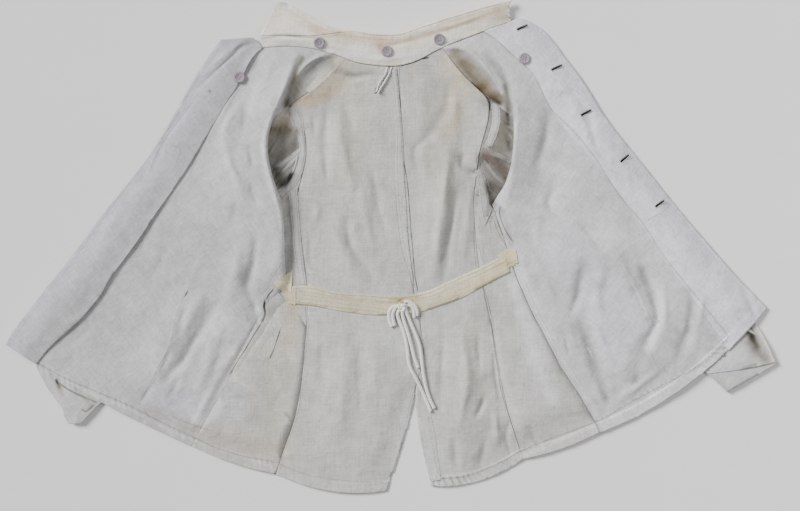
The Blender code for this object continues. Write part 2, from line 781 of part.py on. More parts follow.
def button(name, place, normal, finish, folder):
    """A four-hole button's body: a turned disc with a raised rim and a dished middle."""
    radius = BUTTON / 2
    profile = (
        (0.0, BUTTON_THICK * 0.55),
        (radius * 0.55, BUTTON_THICK * 0.55),
        (radius * 0.72, BUTTON_THICK),
        (radius * 0.92, BUTTON_THICK * 0.95),
        (radius, BUTTON_THICK * 0.5),
        (radius * 0.85, 0.0),
        (0.0, 0.0),
    )
    shape = bmesh.new()
    verts = [shape.verts.new((x * MM, 0, z * MM)) for x, z in profile]
    edges = [shape.edges.new(pair) for pair in zip(verts, verts[1:])]
    bmesh.ops.spin(
        shape,
        geom=verts + edges,
        cent=(0, 0, 0),
        axis=(0, 0, 1),
        angle=radians(360),
        steps=16,
        use_merge=True,
    )
    bmesh.ops.remove_doubles(shape, verts=shape.verts, dist=0.00001)
    bmesh.ops.recalc_face_normals(shape, faces=shape.faces)
    mesh = bpy.data.meshes.new(name)
    shape.to_mesh(mesh)
    shape.free()
    mesh.materials.append(finish)
    obj = bpy.data.objects.new(name, mesh)
    obj.matrix_world = Matrix.Translation(place * MM) @ normal.to_track_quat("Z", "Y").to_matrix().to_4x4()
    folder.objects.link(obj)
    return obj


def seat(grid, x, y, turned):
    """The point and normal of a grid's surface nearest to a place seen from above."""
    sides = normals(grid, turned)
    near = []
    for row, line in zip(grid, sides):
        for p, n in zip(row, line):
            distance = hypot(p.x - x, p.y - y)
            near.append((distance, p, n))
    near.sort(key=lambda item: item[0])
    near = near[:4]
    weights = [1 / (item[0] + 0.5) for item in near]
    total = sum(weights)
    normal = sum((item[2] * w for item, w in zip(near, weights)), Vector()).normalized()
    base = sum((item[1] * w for item, w in zip(near, weights)), Vector()) / total
    z = base.z - (normal.x * (x - base.x) + normal.y * (y - base.y)) / normal.z
    return Vector((x, y, z)), normal


def build_buttons(folder, finish, grids):
    """Buttons on the collar stand, one on each facing, and five under the left front's edge."""
    for i, (x, y) in enumerate(BAND_BUTTONS, 1):
        place, normal = seat(grids["collar_stand"], x, y, False)
        raised = place + normal * (COLLAR_WALL + BUTTON_GAP)
        button(f"button_band_{i}", raised, normal, finish, folder)
    for side, (x, y) in FACING_BUTTONS.items():
        place, normal = seat(grids["facing_" + side], x, y, side == "right")
        raised = place + normal * (WALL + BUTTON_GAP)
        button(f"button_facing_{side}", raised, normal, finish, folder)
    edge = through([row.outer for row in FRONT_LEFT])
    length = sum((b - a).length for a, b in zip(edge, edge[1:]))
    spaced = along(edge, round(length))
    for i in range(FRONT_BUTTONS):
        index = FIRST_BUTTON + BUTTON_PITCH * i
        way = (spaced[index + 1] - spaced[index]).normalized()
        place = spaced[index] + Vector((-way.y, way.x)) * BUTTON_INSET
        low = Vector((place.x, place.y, BUTTON_THICK))
        button(f"button_front_{i + 1}", low, Vector((0, 0, -1)), finish, folder)


def build_knot(folder, cotton):
    """The knot on the tape, over the eyelet."""
    height = WALL + GAP + TAPE_WALL + GAP + KNOT_SIZE[2] / 2
    place = Vector((*KNOT, height)) * MM
    shape = bmesh.new()
    bmesh.ops.create_uvsphere(shape, u_segments=12, v_segments=8, radius=MM / 2)
    bmesh.ops.scale(shape, vec=KNOT_SIZE, verts=shape.verts)
    bmesh.ops.translate(shape, vec=place, verts=shape.verts)
    mesh = bpy.data.meshes.new("drawstring_knot")
    shape.to_mesh(mesh)
    shape.free()
    mesh.materials.append(cotton)
    folder.objects.link(bpy.data.objects.new("drawstring_knot", mesh))


def build_strands(folder, cotton):
    """The ends and ears of the drawstring, which lie from the knot over the back."""
    for name, route in STRANDS.items():
        smooth = through(route, steps=6)
        length = sum((b - a).length for a, b in zip(smooth, smooth[1:]))
        points = along(smooth, max(int(length / (CORD * 2)), 6))
        curve = bpy.data.curves.new(name, "CURVE")
        curve.dimensions = "3D"
        curve.bevel_depth = CORD / 2 * MM
        curve.bevel_resolution = 2
        curve.use_fill_caps = True
        spline = curve.splines.new("POLY")
        spline.points.add(len(points) - 1)
        for i, p in enumerate(points):
            spline.points[i].co = (p.x * MM, p.y * MM, strand_height(p) * MM, 1)
        curve.materials.append(cotton)
        folder.objects.link(bpy.data.objects.new(name, curve))


def strand_height(p):
    """Height of a strand's middle: on the tape at the knot, then on the back."""
    on_tape = 1 - blend(*OFF_TAPE, KNOT[1] - 6 - p.y)
    rest = WALL + GAP + CORD / 2 + folds_at(p.x, p.y, BACK_FOLDS)
    return rest + (TAPE_WALL + 2 * GAP) * on_tape


def cut_buttonholes(folder, pieces):
    """Cut the five buttonholes through the right front and its facing."""
    shape = bmesh.new()
    for hole in HOLES:
        made = bmesh.ops.create_cube(shape, size=1)["verts"]
        bmesh.ops.scale(shape, vec=(HOLE_LENGTH * MM, HOLE_WIDTH * MM, 40 * MM), verts=made)
        turn = Matrix.Rotation(radians(hole.tilt), 3, "Z")
        bmesh.ops.rotate(shape, cent=(0, 0, 0), matrix=turn, verts=made)
        bmesh.ops.translate(shape, vec=(hole.x * MM, hole.y * MM, 0), verts=made)
    mesh = bpy.data.meshes.new("buttonhole_cutter")
    shape.to_mesh(mesh)
    shape.free()
    cutter = bpy.data.objects.new("buttonhole_cutter", mesh)
    cutter.hide_render = True
    cutter.display_type = "WIRE"
    folder.objects.link(cutter)
    for piece in pieces:
        cut = piece.modifiers.new("buttonholes", "BOOLEAN")
        cut.object = cutter
        cut.solver = "EXACT"


def centre_all(folders):
    """Hang every piece and cutter on one empty that puts the tunic's middle at the origin."""
    middle = bpy.data.objects.new("tunic_middle", None)
    middle.location = (-CENTRE[0] * MM, -CENTRE[1] * MM, 0)
    for folder in folders.values():
        for piece in folder.objects:
            piece.parent = middle
    folders["work_tunic"].objects.link(middle)


def main():
    """Build every piece of the tunic, then cut its buttonholes and centre it."""
    folders = start_empty()
    tunic = folders["work_tunic"]
    linen = material("linen", LINEN, 0.85)
    linen_back = material("linen_back", LINEN_BACK, 0.85)
    linen_collar = material("linen_collar", LINEN_COLLAR, 0.85)
    cream = material("cotton_tape", TAPE_COLOUR, 0.8)
    cotton = material("cotton_cord", COTTON, 0.8)
    horn = material("button", BUTTON_COLOUR, 0.5)
    grids, panels = build_body(tunic, linen, linen_back)
    build_sleeves(tunic, linen)
    facings = build_facings(tunic, linen, grids)
    build_pockets(tunic, linen, grids)
    build_collar(tunic, linen_collar, grids)
    build_tape(tunic, cream)
    build_hanger(tunic, linen)
    build_buttons(tunic, horn, grids)
    build_knot(tunic, cotton)
    build_strands(tunic, cotton)
    cut_buttonholes(folders["cutters"], (panels["front_right"], facings["right"]))
    centre_all(folders)


main()
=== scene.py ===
# %% [markdown]
# # A linen work tunic, laid open on its back
#
# The imported frame holds the tunic's construction: every panel, facing, pocket, button and cord as
# a plain solid at its real size. This script gives each of them the look of worn linen drill.
# Cloth panels are copied, refined into a fine shell and creased.

import json
from collections import namedtuple
from math import cos, pi, radians, sin

import bmesh
import bpy
import numpy as np
from mathutils import Matrix, Vector
from mathutils.bvhtree import BVHTree

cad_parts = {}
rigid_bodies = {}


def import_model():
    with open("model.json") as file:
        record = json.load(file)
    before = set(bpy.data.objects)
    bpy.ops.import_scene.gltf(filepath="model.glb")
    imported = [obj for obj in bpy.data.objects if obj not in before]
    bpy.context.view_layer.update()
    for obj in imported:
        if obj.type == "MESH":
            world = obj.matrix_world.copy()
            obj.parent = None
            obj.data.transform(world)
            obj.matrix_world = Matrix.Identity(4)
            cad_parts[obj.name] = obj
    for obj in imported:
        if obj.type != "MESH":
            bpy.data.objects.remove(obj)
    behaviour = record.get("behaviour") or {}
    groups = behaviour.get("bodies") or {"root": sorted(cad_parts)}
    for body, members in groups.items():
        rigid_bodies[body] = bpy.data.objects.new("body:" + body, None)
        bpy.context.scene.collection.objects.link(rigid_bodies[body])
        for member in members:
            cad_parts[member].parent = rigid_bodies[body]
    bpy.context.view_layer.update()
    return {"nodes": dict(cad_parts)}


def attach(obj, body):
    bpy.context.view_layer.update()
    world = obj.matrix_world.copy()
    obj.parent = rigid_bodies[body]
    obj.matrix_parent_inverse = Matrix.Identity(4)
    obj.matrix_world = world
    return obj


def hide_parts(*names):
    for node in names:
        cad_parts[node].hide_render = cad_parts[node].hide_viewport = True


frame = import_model()
MM = 0.001
print("panels, buttons and cords in the frame:", len(frame["nodes"]))

# %% [markdown]
# ## Places and routes
#
# Places on the cloth are read off the photograph, in pixels of its 800 by 511 frame. One pixel is
# 1.6 mm on the table, and the pixel (391.25, 247) lies over the middle of the laid-out tunic.
# `at` turns such a place into metres, and `smooth` draws a soft curve through several of them.
# Such a route can be compared with the photograph, which a list of metres couldn't. `beside`
# measures how far any place lies from a route, which is what every fold, line and mark needs.

# %% Places and routes
PIXEL = 1.6 * MM
MIDDLE = (391.25, 247)


def at(px, py):
    return np.array(((px - MIDDLE[0]) * PIXEL, (MIDDLE[1] - py) * PIXEL))


def curve(line, step):
    """A soft curve through some places, as points that lie about a step apart."""
    line = [2 * line[0] - line[1]] + line + [2 * line[-1] - line[-2]]
    made = []
    for a, b, c, d in zip(line, line[1:], line[2:], line[3:]):
        count = max(int(np.linalg.norm(c - b) / step), 1)
        for i in range(count):
            t = i / count
            made.append(0.5 * (2 * b + (c - a) * t + (2 * a - 5 * b + 4 * c - d) * t * t
                               + (3 * b - a - 3 * c + d) * t ** 3))
    made.append(line[-2])
    return np.array(made)


def smooth(route, step=5 * MM):
    return curve([at(*place) for place in route], step)


def beside(places, route):
    """How far each place lies across a route, signed, and along it, and the route's length."""
    nearest = np.full(len(places), 9.0)
    across = np.zeros(len(places))
    along = np.zeros(len(places))
    travelled = 0.0
    for a, b in zip(route, route[1:]):
        way = b - a
        length = max(float(np.hypot(*way)), 1e-9)
        t = np.clip(((places - a) @ way) / length ** 2, 0, 1)
        off = places - a - t[:, None] * way
        distance = np.hypot(off[:, 0], off[:, 1])
        closer = distance < nearest
        nearest[closer] = distance[closer]
        side = np.sign(way[0] * off[:, 1] - way[1] * off[:, 0])
        across[closer] = (side * distance)[closer]
        along[closer] = travelled + (t * length)[closer]
        travelled += length
    return across, along, travelled


def table(kind, *rows):
    """A table of rows whose columns are named once, by a named tuple."""
    return tuple(kind(*row) for row in rows)


print("one pixel is", round(PIXEL / MM, 1), "mm")

# %% [markdown]
# ## Camera
#
# The garment was photographed from straight above, so the camera looks straight down on it from
# 2.4 m. Its lens is worked out from that height, so that one pixel of the picture is 1.6 mm on
# the table.

# %% Camera
PHOTO_WIDTH = 800
PHOTO_CENTRE = (400, 255.5)
CAMERA_HEIGHT = 2400 * MM
SENSOR = 36


def placed(name, data):
    made = bpy.data.objects.new(name, data)
    bpy.context.scene.collection.objects.link(made)
    return made


camera_data = bpy.data.cameras.new("camera")
camera_data.sensor_width = SENSOR
camera_data.lens = SENSOR * CAMERA_HEIGHT / (PHOTO_WIDTH * PIXEL)
camera = placed("camera", camera_data)
camera.location = (*at(*PHOTO_CENTRE), CAMERA_HEIGHT)
bpy.context.scene.camera = camera
print("lens:", round(camera_data.lens, 1), "mm")

# %% [markdown]
# ## Finishes
#
# One function turns sRGB hex colours to linear, and one adds a shader node with its settings
# and links, so that a finish reads as a short list of what is laid over what.

# %% Colours and nodes
def colour(hexed):
    parts = [int(hexed[i:i + 2], 16) / 255 for i in (1, 3, 5)]
    return tuple(c / 12.92 if c <= 0.04045 else ((c + 0.055) / 1.055) ** 2.4 for c in parts) + (1,)


def node(tree, kind, inputs=None, **settings):
    made = tree.nodes.new(kind)
    for name, value in settings.items():
        setattr(made, name, value)
    for name, value in (inputs or {}).items():
        if isinstance(value, bpy.types.NodeSocket):
            tree.links.new(value, made.inputs[name])
        else:
            made.inputs[name].default_value = value
    return made


def fresh(name):
    made = bpy.data.materials.new(name)
    made.use_nodes = True
    tree = made.node_tree
    return made, tree, tree.nodes["Principled BSDF"]


print("#808080 is", round(colour("#808080")[0], 3), "of white in linear light")

# %% [markdown]
# ## Linen
#
# Linen drill is a dense, matt twill with slubs, the thick places of the yarn, along both its
# thread directions. Real threads are about 0.7 mm apart, which is finer than a pixel here, so
# they are drawn 1.6 mm apart. A wave texture of scale 1 has its bands 0.314 m apart. The other
# patterns are given by how many blotches, crumples, grains and slubs lie along a millimetre.
#
# The material reads attributes that the panels carry. One is a colour with its strength in
# alpha, for yellowing, rust and soil, and for painted shade and painted light in folds and hollows.
# `seam` and `seam_dark` say how far a place is from a seam, a pressed edge or a slit, and how dark
# the thin line there is: dust along the seams, and painted shade in open gaps and slits.

# %% Linen
THREAD = 1.6 * MM
BAND_GAP = 0.314
BLOTCHES, CRUMPLES, GRAINS = 0.009 / MM, 0.046 / MM, 0.26 / MM
SLUB_STRETCHES = ((0.026 / MM, 0.62 / MM, 1), (0.56 / MM, 0.022 / MM, 1))
LINE_DUST_AND_SHADE = "#3B3734"


def linen(name, base, other, grain):
    made, tree, shader = fresh(name)
    place = node(tree, "ShaderNodeTexCoord").outputs["Object"]
    turn = (0, 0, radians(grain))
    turned = node(tree, "ShaderNodeMapping", {"Vector": place, "Rotation": turn}).outputs[0]
    warp, weft = (
        node(tree, "ShaderNodeTexWave", {"Vector": turned, "Scale": BAND_GAP / THREAD,
                                         "Distortion": 1.5, "Detail": 2.0},
             bands_direction=way).outputs[1] for way in "XY")
    slubs = []
    for stretch in SLUB_STRETCHES:
        drawn = node(tree, "ShaderNodeMapping", {"Vector": turned, "Scale": stretch}).outputs[0]
        slubs.append(node(tree, "ShaderNodeTexNoise", {"Vector": drawn, "Scale": 1.0, "Detail": 3.0,
                                                       "Roughness": 0.6}).outputs[0])
    slub = node(tree, "ShaderNodeMath", {0: slubs[0], 1: slubs[1]}, operation="ADD").outputs[0]
    cloud, crumple, grit = (
        node(tree, "ShaderNodeTexNoise", {"Vector": where, "Scale": scale, "Detail": detail,
                                          "Roughness": rough, "Distortion": bent}).outputs[0]
        for where, scale, detail, rough, bent in (
            (place, BLOTCHES, 5.0, 0.62, 0.0), (turned, CRUMPLES, 4.0, 0.55, 0.4),
            (place, GRAINS, 3.0, 0.7, 0.0)))
    spread = node(tree, "ShaderNodeMapRange", {"Value": cloud, "From Min": 0.36, "From Max": 0.66})
    ground = node(tree, "ShaderNodeMix", {"Factor": spread.outputs[0], 6: colour(base),
                                          7: colour(other)}, data_type="RGBA").outputs[2]
    stain_and_painted_light = node(tree, "ShaderNodeAttribute", attribute_name="stain_and_painted_light")
    paint_stains_and_light = node(tree, "ShaderNodeMix", {"Factor": stain_and_painted_light.outputs["Alpha"], 6: ground,
                                           7: stain_and_painted_light.outputs["Color"]}, data_type="RGBA").outputs[2]
    value = 1.0
    for pattern, low, high, darkest, lightest in (
            (slub, 0.7, 1.3, 0.84, 1.12), (crumple, 0.3, 0.7, 0.91, 1.08),
            (grit, 0.3, 0.7, 0.89, 1.1)):
        tone = node(tree, "ShaderNodeMapRange", {
            "Value": pattern, "From Min": low, "From Max": high,
            "To Min": darkest, "To Max": lightest}).outputs[0]
        value = node(tree, "ShaderNodeMath", {0: value, 1: tone}, operation="MULTIPLY").outputs[0]
    shaded = node(tree, "ShaderNodeHueSaturation", {"Color": paint_stains_and_light, "Value": value}).outputs[0]
    seam = node(tree, "ShaderNodeAttribute", attribute_name="seam").outputs["Fac"]
    dark = node(tree, "ShaderNodeAttribute", attribute_name="seam_dark").outputs["Fac"]
    away = node(tree, "ShaderNodeMath", {0: seam}, operation="ABSOLUTE").outputs[0]
    line = node(tree, "ShaderNodeMapRange", {"Value": away, "From Min": 0.45, "From Max": 1.0,
                                             "To Min": 1.0, "To Max": 0.0},
                interpolation_type="SMOOTHSTEP").outputs[0]
    # The thin line is dust along seams and painted shade in open gaps and slits.
    line_dust_and_shade = node(tree, "ShaderNodeMath", {0: line, 1: dark}, operation="MULTIPLY").outputs[0]
    line_dust_and_shade_mixed = node(tree, "ShaderNodeMix", {"Factor": line_dust_and_shade, 6: shaded, 7: colour(LINE_DUST_AND_SHADE)},
                  data_type="RGBA").outputs[2]
    tree.links.new(line_dust_and_shade_mixed, shader.inputs["Base Color"])
    weave = node(tree, "ShaderNodeMath", {0: warp, 1: weft}, operation="ADD").outputs[0]
    yarn = node(tree, "ShaderNodeMath", {0: slub, 1: 2.0, 2: weave},
                operation="MULTIPLY_ADD").outputs[0]
    groove = node(tree, "ShaderNodeMath", {0: line, 1: -1.0}, operation="MULTIPLY").outputs[0]
    under = {}
    for pattern, strength, depth in (
            (yarn, 0.35, 0.12), (grit, 0.5, 0.5), (crumple, 0.9, 2.2), (groove, 0.7, 0.5)):
        bump = node(tree, "ShaderNodeBump", {"Height": pattern, "Strength": strength,
                                             "Distance": depth * MM, **under}).outputs[0]
        under = {"Normal": bump}
    tree.links.new(bump, shader.inputs["Normal"])
    shader.inputs["Roughness"].default_value = 0.92
    shader.inputs["Sheen Weight"].default_value = 0.12
    shader.inputs["Sheen Roughness"].default_value = 0.5
    shader.inputs["Specular IOR Level"].default_value = 0.3
    return made


# The right front and its facing take a lighter copy of the linen, painted light, and the left
# facing a darker one, painted shade, for how the light falls on them.
FRONT_GRAIN = 36
linen_left = linen("linen_drill_front_left", "#CECDCE", "#BAB9B8", -FRONT_GRAIN)
linen_edge_left_shaded = linen("linen_drill_facing_left_shaded", "#B4B3B7", "#A9A8AA", -FRONT_GRAIN)
linen_right_lit = linen("linen_drill_front_right_lit", "#D8D7D9", "#C4C3C4", FRONT_GRAIN)
linen_edge_right_lit = linen("linen_drill_facing_right_lit", "#E8E6EC", "#DCDADF", FRONT_GRAIN)
linen_back = linen("linen_drill_back", "#C8C7C4", "#BBBAB5", 0)
linen_collar = linen("linen_drill_collar", "#F8F3E8", "#EEE6D7", 0)
linen_sleeve = linen("linen_drill_sleeve", "#C9C8C7", "#BAB9B5", FRONT_GRAIN)
tape_cotton = linen("cotton_tape", "#DAD1B5", "#CDC29E", -4)
selvedge = linen("linen_drill_allowance", "#CBCAC8", "#BDBCB8", 4)
print("materials:", len(bpy.data.materials))

# %% [markdown]
# ## Folds of the cloth
#
# A crease is a route with a height: positive for a ridge, negative for a trough. Its profile is
# a soft bell, it dies away at both ends, and its height wanders along it. The tables follow the
# photograph, and each row says where the fold runs, how high it is and how wide to each side, in
# millimetres. Cloth simulation would make folds too, but not these ones, at these places. The
# swells come first: they are the widest creases, where the cloth stands off what is under it.

# %% Swells
Crease = namedtuple("Crease", "route height half")
SWELLS = table(
    Crease,
    (((250, 95), (240, 180), (248, 270)), 3, 60),
    (((185, 290), (165, 350), (190, 400)), 3.5, 62),
    (((238, 310), (252, 370), (240, 416)), 3, 48),
    (((120, 250), (90, 310)), 1.5, 60),
    (((330, 105), (342, 180), (350, 262)), 3, 52),
    (((440, 96), (450, 180), (448, 262)), 4, 46),
    (((340, 330), (345, 390), (330, 446)), 2.5, 50),
    (((458, 325), (466, 390), (470, 444)), 3.5, 50),
    (((528, 325), (548, 385), (545, 420)), 3, 46),
    (((556, 95), (590, 170), (620, 230)), 2, 60),
    (((560, 180), (572, 260), (586, 335)), 4.5, 62),
    (((620, 262), (640, 326), (625, 384)), 4.5, 58),
    (((690, 280), (688, 336)), 3, 48),
)
print("swells:", len(SWELLS))

# %% [markdown]
# ## Folds of the left front
#
# Folds are sharper than swells, and a deep one has a ridge beside its trough, where the cloth
# that it takes up stands. The left front has most of them, round the place where it is pinched
# at the tape's end.

# %% Folds of the left front
LEFT_FOLDS = table(
    Crease,
    (((257, 236), (255, 262), (249, 284), (254, 300), (259, 318)), -6, 8),
    (((240, 248), (237, 275), (230, 300)), 3, 12),
    (((221, 300), (211, 315), (203, 330), (191, 347), (183, 362), (171, 374), (165, 385)), -4.5, 9),
    (((207, 290), (195, 312), (186, 330)), 2.5, 10),
    (((188, 306), (180, 336)), -1.2, 5),
    (((184, 302), (177, 322), (171, 346), (160, 367), (150, 386), (141, 401)), 0.6, 4),
    (((172, 350), (163, 371)), -2, 5),
    (((154, 383), (141, 403)), -1.6, 6),
    (((181, 375), (172, 396)), -2.2, 5),
    (((150, 392), (172, 410), (198, 424), (214, 430)), 1.2, 5),
    (((287, 344), (289, 361), (285, 378)), -4, 6),
    (((273, 304), (275, 320)), -2, 4),
    (((251, 383), (242, 397), (229, 412), (222, 421)), -2.6, 8),
    (((264, 376), (251, 400), (240, 421)), 1.6, 5),
    (((277, 376), (266, 402), (257, 421)), 1.4, 6),
    (((214, 340), (206, 372), (196, 400)), 1.0, 8),
    (((232, 318), (222, 350), (212, 380)), -1.0, 7),
    (((253, 97), (247, 114), (245, 132)), -3.5, 10),
    (((250, 145), (253, 158), (254, 171)), -5, 6),
    (((251, 183), (256, 196), (262, 207)), -3.6, 7),
    (((243, 104), (228, 124), (225, 142), (232, 164), (241, 186), (248, 213)), 3, 9),
    (((238, 203), (233, 227)), -1.6, 7),
    (((296, 58), (286, 92), (277, 116), (269, 140), (269, 162), (276, 190), (283, 214),
      (286, 238), (285, 262)), 2.5, 8),
    (((258, 43), (242, 48), (235, 55), (222, 67), (208, 80), (199, 88)), -3, 4),
    (((250, 37), (232, 50), (214, 66), (204, 76)), 1.8, 6),
    (((236, 92), (226, 112), (213, 134)), 1.0, 5),
    (((197, 98), (172, 130), (152, 172)), -0.9, 5),
    (((275, 60), (260, 92), (248, 108)), 1.5, 10),
    (((206, 250), (196, 272), (190, 290)), 0.8, 5),
    (((128, 200), (112, 225), (96, 250)), 0.8, 9),
    (((170, 240), (162, 262), (150, 280)), -0.7, 8),
    (((108, 320), (80, 345), (60, 356)), 0.7, 8),
)
print("folds:", len(LEFT_FOLDS))

# %% [markdown]
# ## Folds of the back
#
# The back hangs between the collar and the waist tape, so most of its folds run up and down.

# %% Folds of the back
BACK_FOLDS = table(
    Crease,
    (((313, 115), (315, 137)), -2, 5),
    (((327, 111), (326, 150), (328, 183)), -3.2, 9),
    (((336, 111), (345, 160), (354, 193)), 3, 12),
    (((344, 102), (354, 131)), -2.2, 7),
    (((326, 188), (347, 192)), -1.6, 6),
    (((346, 214), (351, 243), (365, 264), (377, 287)), -3.2, 10),
    (((330, 221), (342, 250), (356, 281)), 2, 12),
    (((372, 167), (377, 195), (385, 233)), -2.2, 8),
    (((362, 180), (366, 215), (374, 251)), 1.6, 9),
    (((334, 71), (350, 78), (372, 75)), -2.6, 6),
    (((340, 86), (365, 96), (386, 100)), 1.0, 10),
    (((310, 231), (311, 273)), -2.2, 6),
    (((306, 196), (318, 206), (316, 222)), 1.5, 8),
    (((449, 84), (446, 110), (431, 134), (415, 152), (426, 177)), -2.6, 10),
    (((456, 96), (454, 131)), 2, 10),
    (((455, 130), (448, 160), (443, 200), (438, 240), (434, 283)), 3.6, 11),
    (((459, 188), (454, 206), (450, 232), (447, 256), (443, 283)), -3.8, 8),
    (((464, 153), (462, 166), (473, 174), (482, 166)), -2.6, 6),
    (((471, 188), (467, 222), (463, 259)), 2.6, 9),
    (((425, 90), (421, 140), (428, 200), (424, 251)), 1.6, 12),
    (((460, 84), (474, 95), (490, 104)), 3, 8),
    (((513, 92), (514, 130), (511, 170), (504, 200)), 1.3, 8),
    (((500, 66), (506, 84), (508.5, 104), (508.5, 126)), -4, 6),
)
print("folds:", len(BACK_FOLDS))

# %% [markdown]
# ## Folds of the right front
#
# The right front lies flatter. Its folds fan out from the armhole and the tape's end
# to the hem.

# %% Folds of the right front
RIGHT_FOLDS = table(
    Crease,
    (((549, 107), (545, 140), (535, 173)), -2.2, 12),
    (((554, 185), (549, 206), (563, 219)), -2.2, 10),
    (((580, 223), (595, 241), (605, 253)), -3.2, 9),
    (((585, 263), (594, 277)), -2.6, 9),
    (((549, 283), (563, 300)), -2.2, 7),
    (((582, 267), (579, 290), (575, 302), (568, 319)), -4.6, 9),
    (((601, 261), (595, 290), (597, 321)), 3, 14),
    (((575, 318), (586, 342), (594, 365), (602, 386), (609, 403)), -5.5, 8),
    (((591, 317), (601, 342), (611, 371)), 2.6, 9),
    (((566, 317), (574, 345), (587, 373)), 1.6, 7),
    (((564, 337), (569, 355)), -1.6, 4),
    (((641, 265), (646, 286), (656, 310), (654, 326), (643, 346), (636, 366), (636, 383)), -5, 8),
    (((620, 260), (636, 290), (651, 323)), 1.3, 4),
    (((661, 285), (663, 331)), 2.6, 9),
    (((691, 297), (687, 330), (681, 346), (678, 361)), -3.2, 9),
    (((701, 295), (697, 327)), 1.6, 9),
    (((569, 89), (585, 110), (595, 146), (605, 163)), -2.2, 9),
    (((629, 177), (645, 197)), -1.6, 8),
    (((742, 287), (750, 305), (756, 319)), -2.6, 6),
    (((665, 363), (637, 386), (612, 405)), 1.3, 8),
    (((558, 96), (576, 98)), -1, 6),
    (((520, 240), (536, 264), (552, 293)), 1.5, 7),
    (((530, 240), (545, 263)), -1, 6),
    (((600, 130), (640, 190), (690, 261)), 1, 14),
    (((540, 200), (536, 240), (548, 270)), 1.2, 12),
)
print("folds:", len(RIGHT_FOLDS))

# %% [markdown]
# ## Folds below the waist
#
# Below the tape the back falls in short folds to both sides of the vent.

# %% Folds below the waist
LOW_FOLDS = table(
    Crease,
    (((511, 419), (506, 436), (513, 457)), -4, 6),
    (((533, 419), (534, 435), (541, 447)), -3.6, 6),
    (((485, 397), (476, 417)), -2.6, 7),
    (((454, 437), (457, 471)), -3.6, 7),
    (((486, 437), (481, 467)), -2.6, 7),
    (((526, 343), (521, 367)), -2.2, 8),
    (((539, 383), (550, 403)), -2.2, 4),
    (((494, 349), (495, 372), (500, 401)), -3.2, 5),
    (((463, 329), (466, 380), (458, 431)), 2.6, 10),
    (((495, 411), (497, 447)), 2.6, 8),
    (((521, 409), (525, 441)), 2, 7),
    (((546, 339), (552, 380), (566, 411)), 2, 9),
    (((444, 320), (442, 380), (440, 421)), -1.6, 9),
    (((478, 330), (480, 371)), -1.6, 8),
    (((303, 367), (296, 393)), -1.6, 6),
    (((345, 330), (345, 380), (338, 431)), 1.6, 14),
    (((322, 340), (324, 391)), -1.2, 9),
    (((372, 330), (376, 401)), 1.2, 12),
    (((358, 340), (361, 421)), -1, 8),
)
print("folds:", len(LOW_FOLDS))

# %% [markdown]
# ## Folds of the collar, cuffs and armhole
#
# The collar's folds run along it, the cuffs' across the sleeve, and the armhole's
# allowances stand up in short ridges.

# %% Folds of the collar, cuffs and armhole
SMALL_FOLDS = table(
    Crease,
    (((262, 41), (282, 38), (314, 40)), -1.6, 5),
    (((276, 8), (300, 22), (336, 37)), 0.8, 6),
    (((268, 20), (284, 28), (301, 31)), -0.9, 6),
    (((330, 44), (380, 48), (430, 37), (480, 22)), -0.9, 5),
    (((345, 55), (385, 60), (416, 56)), 0.9, 5),
    (((424, 33), (460, 24), (500, 9)), 0.8, 5),
    (((64, 384), (80, 396), (94, 408)), 2.0, 7),
    (((58, 398), (72, 410), (82, 420)), 1.2, 7),
    (((708, 356), (722, 368), (738, 385)), 1.8, 9),
    (((724, 346), (725, 360)), -1.5, 4),
    (((486, 168), (494, 176), (503, 184)), 3, 5),
    (((480, 176), (486, 190), (489, 214)), 4, 6),
    (((485, 146), (492, 153), (508, 160)), 2.5, 5),
)
FOLDS = LEFT_FOLDS + BACK_FOLDS + RIGHT_FOLDS + LOW_FOLDS + SMALL_FOLDS
print("folds in all:", len(FOLDS))

# %% [markdown]
# ## Rolls and edges
#
# The fronts roll over softly at the neck. The facings stand a little off where they are loose,
# and are pressed flat where they are sewn. `SEAM_PRESSED` sinks the left front on a seam below
# it, and `SLIT_LIPS` raises the lips of its slit. Of these, only the rolls go through every layer.

# %% Rolls and edges
ROLLS = table(
    Crease,
    (((334, 54), (318, 59), (306, 67), (297, 79)), 7, 5),
    (((440, 49), (463, 50), (479, 63), (492, 80), (503, 102)), 7, 6),
)
FACING_LIFT = table(
    Crease,
    (((265, 49), (257, 57), (250, 64), (247, 76), (241, 87)), 4, 11),
    (((207, 141), (195, 163), (183, 185), (160, 212), (133, 253), (110, 285), (89, 311),
      (64, 332), (48, 349), (36, 364)), 3, 13),
)
FACING_PRESSED = table(
    Crease,
    (((241, 84), (232, 98), (218, 122), (206, 144)), -1.2, 9),
)
FACING_FLAT = table(
    Crease,
    (((484, 33), (495, 40), (510, 54), (522, 64), (533, 75), (538, 84), (551, 110), (574, 133),
      (594, 158), (617, 194), (642, 224), (665, 259), (693, 294), (727, 335)), -1.2, 8),
)
SEAM_PRESSED = table(
    Crease,
    (((262, 312), (243, 343), (226, 372), (208, 402)), -2.2, 20),
    (((226, 372), (204, 410), (189, 438)), -1.2, 20),
    (((292, 272), (281, 292), (268, 310), (256, 330)), -7.5, 24),
    (((284, 196), (287, 230), (289, 258), (288, 286)), -6, 15),
)
SLIT_LIPS = table(
    Crease,
    (((275, 287), (268, 295), (265, 303), (264, 316), (262, 322), (256, 333), (246, 350)), 0.8, 8),
)

print("rolls:", len(ROLLS))

# %% [markdown]
# ## Hem puckers
#
# The thread has shrunk more than the cloth, so each hem ripples in short waves beside its row of
# stitches. A row gives the hem's route, and the height and the length of a wave in millimetres.

